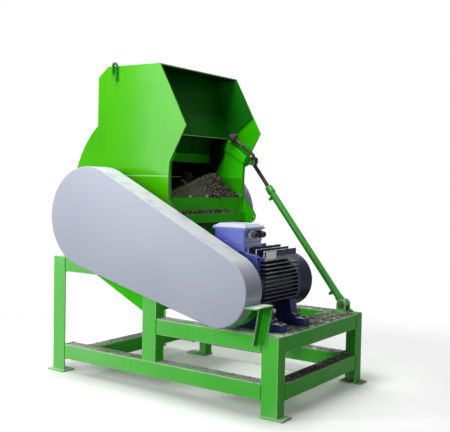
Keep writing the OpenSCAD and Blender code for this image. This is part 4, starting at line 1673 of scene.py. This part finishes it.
@dataclass
class Motor:
    """The motor's fan, bolts and bare plate.

    Attributes:
        feet: Where the bolts of the feet stand along the motor.
        shield: Radius and place of the bolts in the front shield.
        cowl: Radius and place of the screws round the cowl.
        blades: Number of the fan's blades.
    """

    feet: Flat = (-0.4, -0.13)
    shield: Flat = (0.15, -0.494)
    cowl: Flat = (0.1735, -0.028)
    blades: int = 9

    def fan(self, shop: Workshop) -> None:
        """Fits the cooling fan on its hub."""
        x, z = MOTOR_AXIS
        blade = Sheetwork("blade").block((0.03, -0.02, -0.003), (0.15, 0.02, 0.003))
        single = bpy.data.meshes.new("blade")
        blade.whole.to_mesh(single)
        blade.whole.free()
        sizes = {"Count": self.blades, "Centre": (x, 0.055, z)}
        seat(shop.rings.bake("cooling_fan", single, shop.paint.belt, **sizes))
        profile = [(0, 0), (0, 0.045), (0.11, 0.045), (0.118, 0.036), (0.118, 0)]
        hub = Sheetwork("fan_hub").turned((x, -0.04, z), ACROSS, profile, 32)
        hub.made(shop.paint.belt, Slot.MOTOR)

    def build(self, shop: Workshop) -> None:
        """Fits what is bolted to the motor."""
        x, z = MOTOR_AXIS
        p = shop.paint
        spots = []
        for out, down in ((0.192, 0.178), (0.25, 0.2)):
            spots += [((x + s * out, y, z - down), UP) for s in SIDES for y in self.feet]
        shop.bolt("foot_bolts", spots, 0.012, p.crust)
        turns = [math.pi / 4 + math.pi / 2 * k for k in range(4)]
        radius, y = self.shield
        shield = [(polar(MOTOR_AXIS, radius, a, y), (0, -1, 0)) for a in turns]
        shop.bolt("shield_bolts", shield, 0.0095, p.zinc)
        radius, y = self.cowl
        cowl = [(polar(MOTOR_AXIS, radius, a, y), polar((0, 0), 1, a, 0)) for a in turns]
        shop.bolt("cowl_screws", cowl, 0.006, p.cowl)
        self.fan(shop)
        face = 0.7595
        plate = Sheetwork("bare_plate")
        plate.block((face - 0.0015, -0.445, 0.887), (face, -0.335, 0.934), 0.0005)
        plate.made(p.zinc, Slot.BARE)
        pins = [((face, y, v), ALONG) for y in (-0.439, -0.341) for v in (0.892, 0.929)]
        shop.bolt("plate_pins", pins, 0.002, p.zinc)


@dataclass
class Ram:
    """The hood's hydraulic ram, its clevis and the bar that stays the hood's side.

    Attributes:
        base, top: The lower and the upper pin.
        plane: Where across the machine the ram lies.
        length: Length of the barrel from the lower pin.
        cheeks: First and last face of each of the clevis's two cheeks.
    """

    base: Flat = (0.797, 0.522)
    top: Flat = (0.032, 1.490)
    plane: float = 0.492
    length: float = 0.99
    cheeks: tuple[Flat, Flat] = ((0.4655, 0.4705), (0.5135, 0.5185))

    def along(self, distance: float) -> Point:
        """Point on the ram's line, by its distance from the lower pin."""
        dx, dz = self.top[0] - self.base[0], self.top[1] - self.base[1]
        size = math.hypot(dx, dz)
        return self.base[0] + dx * distance / size, self.plane, self.base[1] + dz * distance / size

    def build(self, shop: Workshop) -> None:
        """Fits the ram's small parts."""
        p = shop.paint
        way = Vector(self.along(1.0)) - Vector(self.along(0.0))
        gland = [(0, 0.02), (0, 0.0292), (0.032, 0.0292), (0.038, 0.0262), (0.052, 0.0262)]
        gland += [(0.056, 0.021), (0.056, 0.0145), (0.04, 0.0145), (0.04, 0.02), (0, 0.02)]
        nut = Sheetwork("ram_gland").turned(self.along(self.length - 0.048), way, gland, 28)
        nut.made(p.barrel, Slot.FRAME, Body.BARREL)
        ports = Sheetwork("ram_ports")
        side = way.cross(Vector(ACROSS)).normalized()
        port = [(0, 0), (0, 0.013), (0.018, 0.013), (0.019, 0.009), (0.03, 0.009), (0.03, 0)]
        for distance in (0.11, 0.915):
            ports.turned(Vector(self.along(distance)) + side * 0.02, side, port, 12)
        ports.made(p.barrel, Slot.FRAME, Body.BARREL)
        x, z = self.base
        washer = [(0, 0), (0, 0.024), (0.004, 0.024), (0.004, 0.0155), (0.009, 0.014), (0.009, 0)]
        washers = Sheetwork("ram_base_washers")
        for s in SIDES:
            washers.turned((x, self.plane + s * 0.0375, z), (0, s, 0), washer, 24)
        washers.made(p.crust, Slot.BARE)
        places = [(x + dx, self.plane + dy) for dx in (-0.045, 0.035) for dy in (-0.044, 0.044)]
        shop.bolt("ram_base_bolts", [((*place, 0.48), UP) for place in places], 0.0055, p.crust)
        self.clevis(shop)
        self.stay(shop)

    def clevis(self, shop: Workshop) -> None:
        """Fits the clevis that holds the rod's eye."""
        x, z = self.top
        cheek = [(-0.044, -0.027), (0.03, -0.034), (0.042, -0.012), (0.038, 0.022)]
        cheek += [(0.012, 0.03), (-0.044, 0.02)]
        clevis = Sheetwork("ram_clevis")
        for first, last in self.cheeks:
            clevis.plate([(x + dx, z + dz) for dx, dz in cheek], first, last)
        near, far = self.cheeks[0][0], self.cheeks[1][1]
        clevis.block((x - 0.046, near, z - 0.024), (x - 0.036, far, z + 0.018))
        clevis.made(shop.paint.frame, Slot.FRAME, Body.HOOD)
        pin = [((x, far, z), ACROSS)]
        shop.bolt("clevis_pin", pin, 0.013, shop.paint.zinc, body=Body.HOOD)

    def stay(self, shop: Workshop) -> None:
        """Fits the crusted stay bar behind the clevis."""
        path = [(0.045, 0.455, 1.497), (0.085, 0.44, 1.515), (0.098, 0.41, 1.527)]
        path += [(0.08, 0.398, 1.55), (0.043, 0.3955, 1.576), (-0.035, 0.394, 1.632)]
        path += [(-0.052, 0.392, 1.643)]
        stay = Sheetwork("stay_bar").tube(path, 0.012, 10)
        lump = Vector((-0.06, 0.39, 1.648))
        shifts = ((0, 0, 0), (-0.018, 0.002, 0.014), (0.014, 0, 0.016))
        for shift, r in zip(shifts, (0.029, 0.022, 0.020)):
            knob = [(-r, 0), (-r * 0.7, r * 0.75), (0, r * 1.05), (r * 0.7, r * 0.7), (r, 0)]
            stay.turned(lump + Vector(shift), (0.5, 0, 0.85), knob, 10)
        a, b = Vector(path[4]), Vector(path[5])
        for share, r in ((0.25, 0.013), (0.6, 0.011)):
            knot = [(-r, 0), (-r * 0.6, r), (r * 0.6, r), (r, 0)]
            stay.turned(a.lerp(b, share), b - a, knot, 9)
        stay.made(shop.paint.crust, Slot.ROD, Body.HOOD, 50)


@dataclass
class Hood:
    """The hood's hinges, inner strips and weld lines.

    Attributes:
        hinges: Where the two hinges lie across the machine.
        eye_x: Middle of the lifting eyes.
        eyes: Rear and front end of each eye's foot from that middle, and its height.
    """

    hinges: Flat = (-0.3, 0.3)
    eye_x: float = -0.452
    eyes: tuple[Flat, Flat] = ((-0.017, 2.034), (0.017, 1.984))

    def hinge_bolts(self, shop: Workshop) -> None:
        """Bolts the hinges' leaves to the housing and the hood."""
        rows = [y + dy for y in self.hinges for dy in (-0.075, 0.075)]
        low = [((-0.854, y, z), (-1, 0, 0)) for y in rows for z in (1.24, 1.3)]
        shop.bolt("hinge_bolts_low", low, 0.010, shop.paint.zinc)
        rows = [y + dy for y in self.hinges for dy in (-0.018, 0.018)]
        places = ((-0.8274, 1.4214), (-0.797, 1.4700))
        high = [((x, y, z), (-0.847, 0, 0.532)) for y in rows for x, z in places]
        shop.bolt("hinge_bolts_high", high, 0.008, shop.paint.zinc, body=Body.HOOD)

    def build(self, shop: Workshop) -> None:
        """Fits the hood's bolts, strips and beads."""
        p = shop.paint
        self.hinge_bolts(shop)
        beads = []
        for s in SIDES:
            y = s * (HALF + 0.002)
            for dx, z in self.eyes:
                places = [self.eye_x + dx + side for side in (-0.009, 0.009)]
                beads += [[(x, y, z), (x, y, z + 0.035)] for x in places]
        shop.weld("eye_welds", beads, 0.003, p.hood, body=Body.HOOD)
        edge = Sheetwork("liner_edge")
        edge.block((-0.1275, -0.411, 1.6435), (-0.1225, 0.411, 1.6485))
        edge.made(p.seal, Slot.INNER, Body.HOOD)
        band = Sheetwork("impact_band").block((-0.2955, -0.412, 1.47), (-0.2925, 0.412, 1.533))
        band.made(p.apron, Slot.INNER, Body.HOOD)
        bend = ((-0.232, 1.372), (-0.135, 1.545), (-0.151, 1.57))
        inner = [[(x, s * CHAMBER, z) for x, z in bend] for s in SIDES]
        shop.weld("wear_plate_welds", inner, 0.0035, p.wear, body=Body.HOOD)


@dataclass
class Rotor:
    """The bolts that hold the hammers.

    Attributes:
        discs, pitch: Number of discs and the distance between them.
        hammers: Number of hammers on each disc.
        stagger: Turn from disc to disc, in degrees.
        bolts: Distances of a hammer's bolts from the shaft.
    """

    pitch: float = 0.17
    discs: int = 5
    hammers: int = 6
    stagger: float = 24
    bolts: Flat = (0.178, 0.207)

    def build(self, shop: Workshop) -> None:
        """Fits two bolts to every hammer."""
        spots: list[Spot] = []
        for i in range(self.discs):
            y = (i - (self.discs - 1) / 2) * self.pitch + 0.010 + 0.044
            for k in range(self.hammers):
                a = math.radians(k * 360 / self.hammers + i * self.stagger)
                spots += [(polar(SHAFT, reach, a, y), ACROSS) for reach in self.bolts]
        shop.bolt("hammer_bolts", spots, 0.011, shop.paint.rotor)


# ---- studio ----


def seen(graph: Graph, unseen: bpy.types.NodeSocket, shown: bpy.types.NodeSocket) -> Any:
    """Picks between two shaders by what a ray is for.

    Args:
        graph: The tree that they stand in.
        unseen: The one that lights the machine.
        shown: The one that the camera, mirrored rays and rays through glass meet.

    Returns:
        The shader that comes of them.
    """
    path = graph.node("ShaderNodeLightPath")
    kinds = ("Is Camera Ray", "Is Glossy Ray", "Is Transmission Ray")
    camera, glossy, through = (Value(graph, path.outputs[kind]) for kind in kinds)
    share = (camera + glossy + through).least(1.0)
    return graph.put("ShaderNodeMixShader", {0: share, 1: unseen, 2: shown})


def white(graph: Graph, kind: str, strength: float) -> bpy.types.NodeSocket:
    """Adds a white shader of some strength."""
    return graph.put(kind, {"Color": (1, 1, 1, 1), "Strength": strength})


class Studio:
    """Floor, backdrop, lamps and camera."""

    def floor(self) -> None:
        """Lays a pale floor that keeps soft shadows and fades into the backdrop."""
        g = Shader("floor_white")
        pale, dull = (
            g.put("ShaderNodeBsdfDiffuse", {"Color": (grey, grey, grey, 1)})
            for grey in (0.98, 0.24)
        )
        lit = g.put("ShaderNodeAddShader", {0: pale, 1: white(g, "ShaderNodeEmission", 0.1)})
        far = (g.x * g.x + g.y * g.y).root().rise(1.6, 3.2)
        sockets = {0: far, 1: lit, 2: white(g, "ShaderNodeEmission", 1.0)}
        lightened = g.put("ShaderNodeMixShader", sockets)
        g.node("ShaderNodeOutputMaterial", {0: seen(g, dull, lightened)})
        mesh = flat_sheet((-30, -30), (30, 30), -0.0005)
        mesh.materials.append(g.material)
        link("floor", mesh)

    def world(self) -> None:
        """Surrounds the machine with white for the eye and a softer grey for its light."""
        world = bpy.data.worlds.new("studio")
        bpy.context.scene.world = world
        world.use_nodes = True
        g = Graph(world.node_tree)
        g.tree.nodes.clear()
        soft, bright = (white(g, "ShaderNodeBackground", much) for much in (0.13, 1.0))
        g.node("ShaderNodeOutputWorld", {0: seen(g, soft, bright)})

    def lamp(self, name: str, place: Point, aim: Point, size: Flat, power: float) -> None:
        """Hangs a soft lamp.

        Args:
            name: Its name.
            place, aim: Where it hangs and the point it looks at.
            size, power: Its width and height, and its power in watts.
        """
        data = bpy.data.lights.new(name, "AREA")
        data.shape = "RECTANGLE"
        data.size, data.size_y = size
        data.energy = power
        lamp = link(name, data)
        lamp.location = place
        lamp.rotation_euler = (Vector(aim) - Vector(place)).to_track_quat("-Z", "Y").to_euler()

    def camera(self) -> None:
        """Sets the camera in front of the machine, to its right."""
        data = bpy.data.cameras.new("camera")
        data.lens = 59.74
        data.sensor_width = 36
        camera = link("camera", data)
        camera.location = (3.0284, -4.0911, 1.3345)
        camera.rotation_euler = [math.radians(a) for a in (87.366, -1.0553, 35.184)]
        bpy.context.scene.camera = camera

    def build(self) -> None:
        """Sets the whole studio up."""
        bpy.context.scene.view_settings.view_transform = "Standard"
        self.floor()
        self.world()
        middle = (0, 0, 1.0)
        self.lamp("key", (-3.1, -4.4, 2.2), (-0.1, 0, 1.0), (0.9, 2.0), 96)
        self.lamp("front", (0.8, -5.8, 2.1), middle, (2.0, 2.0), 118)
        self.lamp("top", (0.0, -1.2, 4.4), (0.0, -0.2, 1.0), (1.6, 1.6), 125)
        self.lamp("glare", (-1.7, 1.7, 3.6), middle, (2.0, 2.0), 45)
        self.lamp("rear", (-1.5, 4.2, 2.0), middle, (2.4, 2.4), 45)
        self.camera()


def dress(p: Paintshop) -> None:
    """Paints every CAD node, by its own name or by its slot.

    Args:
        p: The finishes.
    """
    by_slot = {
        Slot.FRAME: p.frame,
        Slot.HOUSING: p.hood,
        Slot.INNER: p.inner,
        Slot.GUARD: p.guard,
        Slot.MOTOR: p.motor,
        Slot.ROTOR: p.rotor,
        Slot.PULLEY: p.pulley,
        Slot.BEARING: p.bearing,
        Slot.BARE: p.bare,
        Slot.ROD: p.rod,
    }
    special = {
        "motor_cowl": p.cowl,
        "motor_feet": p.feet,
        "belt_drive": p.belt,
        "guard_bracket": p.bracket,
        "hood_wear_plates": p.wear,
        "feed_apron": p.apron,
        "discharge_chute": p.apron,
        "ram_barrel": p.barrel,
        "lifting_lugs": p.eye,
        "hood_ram_lug": p.barrel,
        "hinge_upper": p.bearing,
        "hinge_lower": p.bearing,
    }
    slots = {part["node"]: part["material_slot"] for part in frame["record"]["subparts"]}
    for name, piece in frame["nodes"].items():
        finish = special.get(name) or by_slot[Slot(slots[name])]
        piece.data.materials.clear()
        piece.data.materials.append(finish)
        for face in piece.data.polygons:
            face.material_index = 0
        LOG.info("%-24s painted %s", name, finish.name)


def main() -> None:
    """Builds the whole model round the frame."""
    logging.basicConfig(level=logging.INFO, format="%(message)s")
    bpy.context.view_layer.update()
    shop = Workshop(Paintshop(), bolt_recipe(), bead_recipe(), grain_recipe(), ring_recipe())
    dress(shop.paint)
    parts = (Stand(), Housing(), Rotor(), Heap(), BeltGuard(), FarGuard(), Hood())
    for part in (*parts, Motor(), TerminalBox(), Ram()):
        part.build(shop)
        LOG.info("%s is built", type(part).__name__)
    Studio().build()


if __name__ == "__main__":
    main()
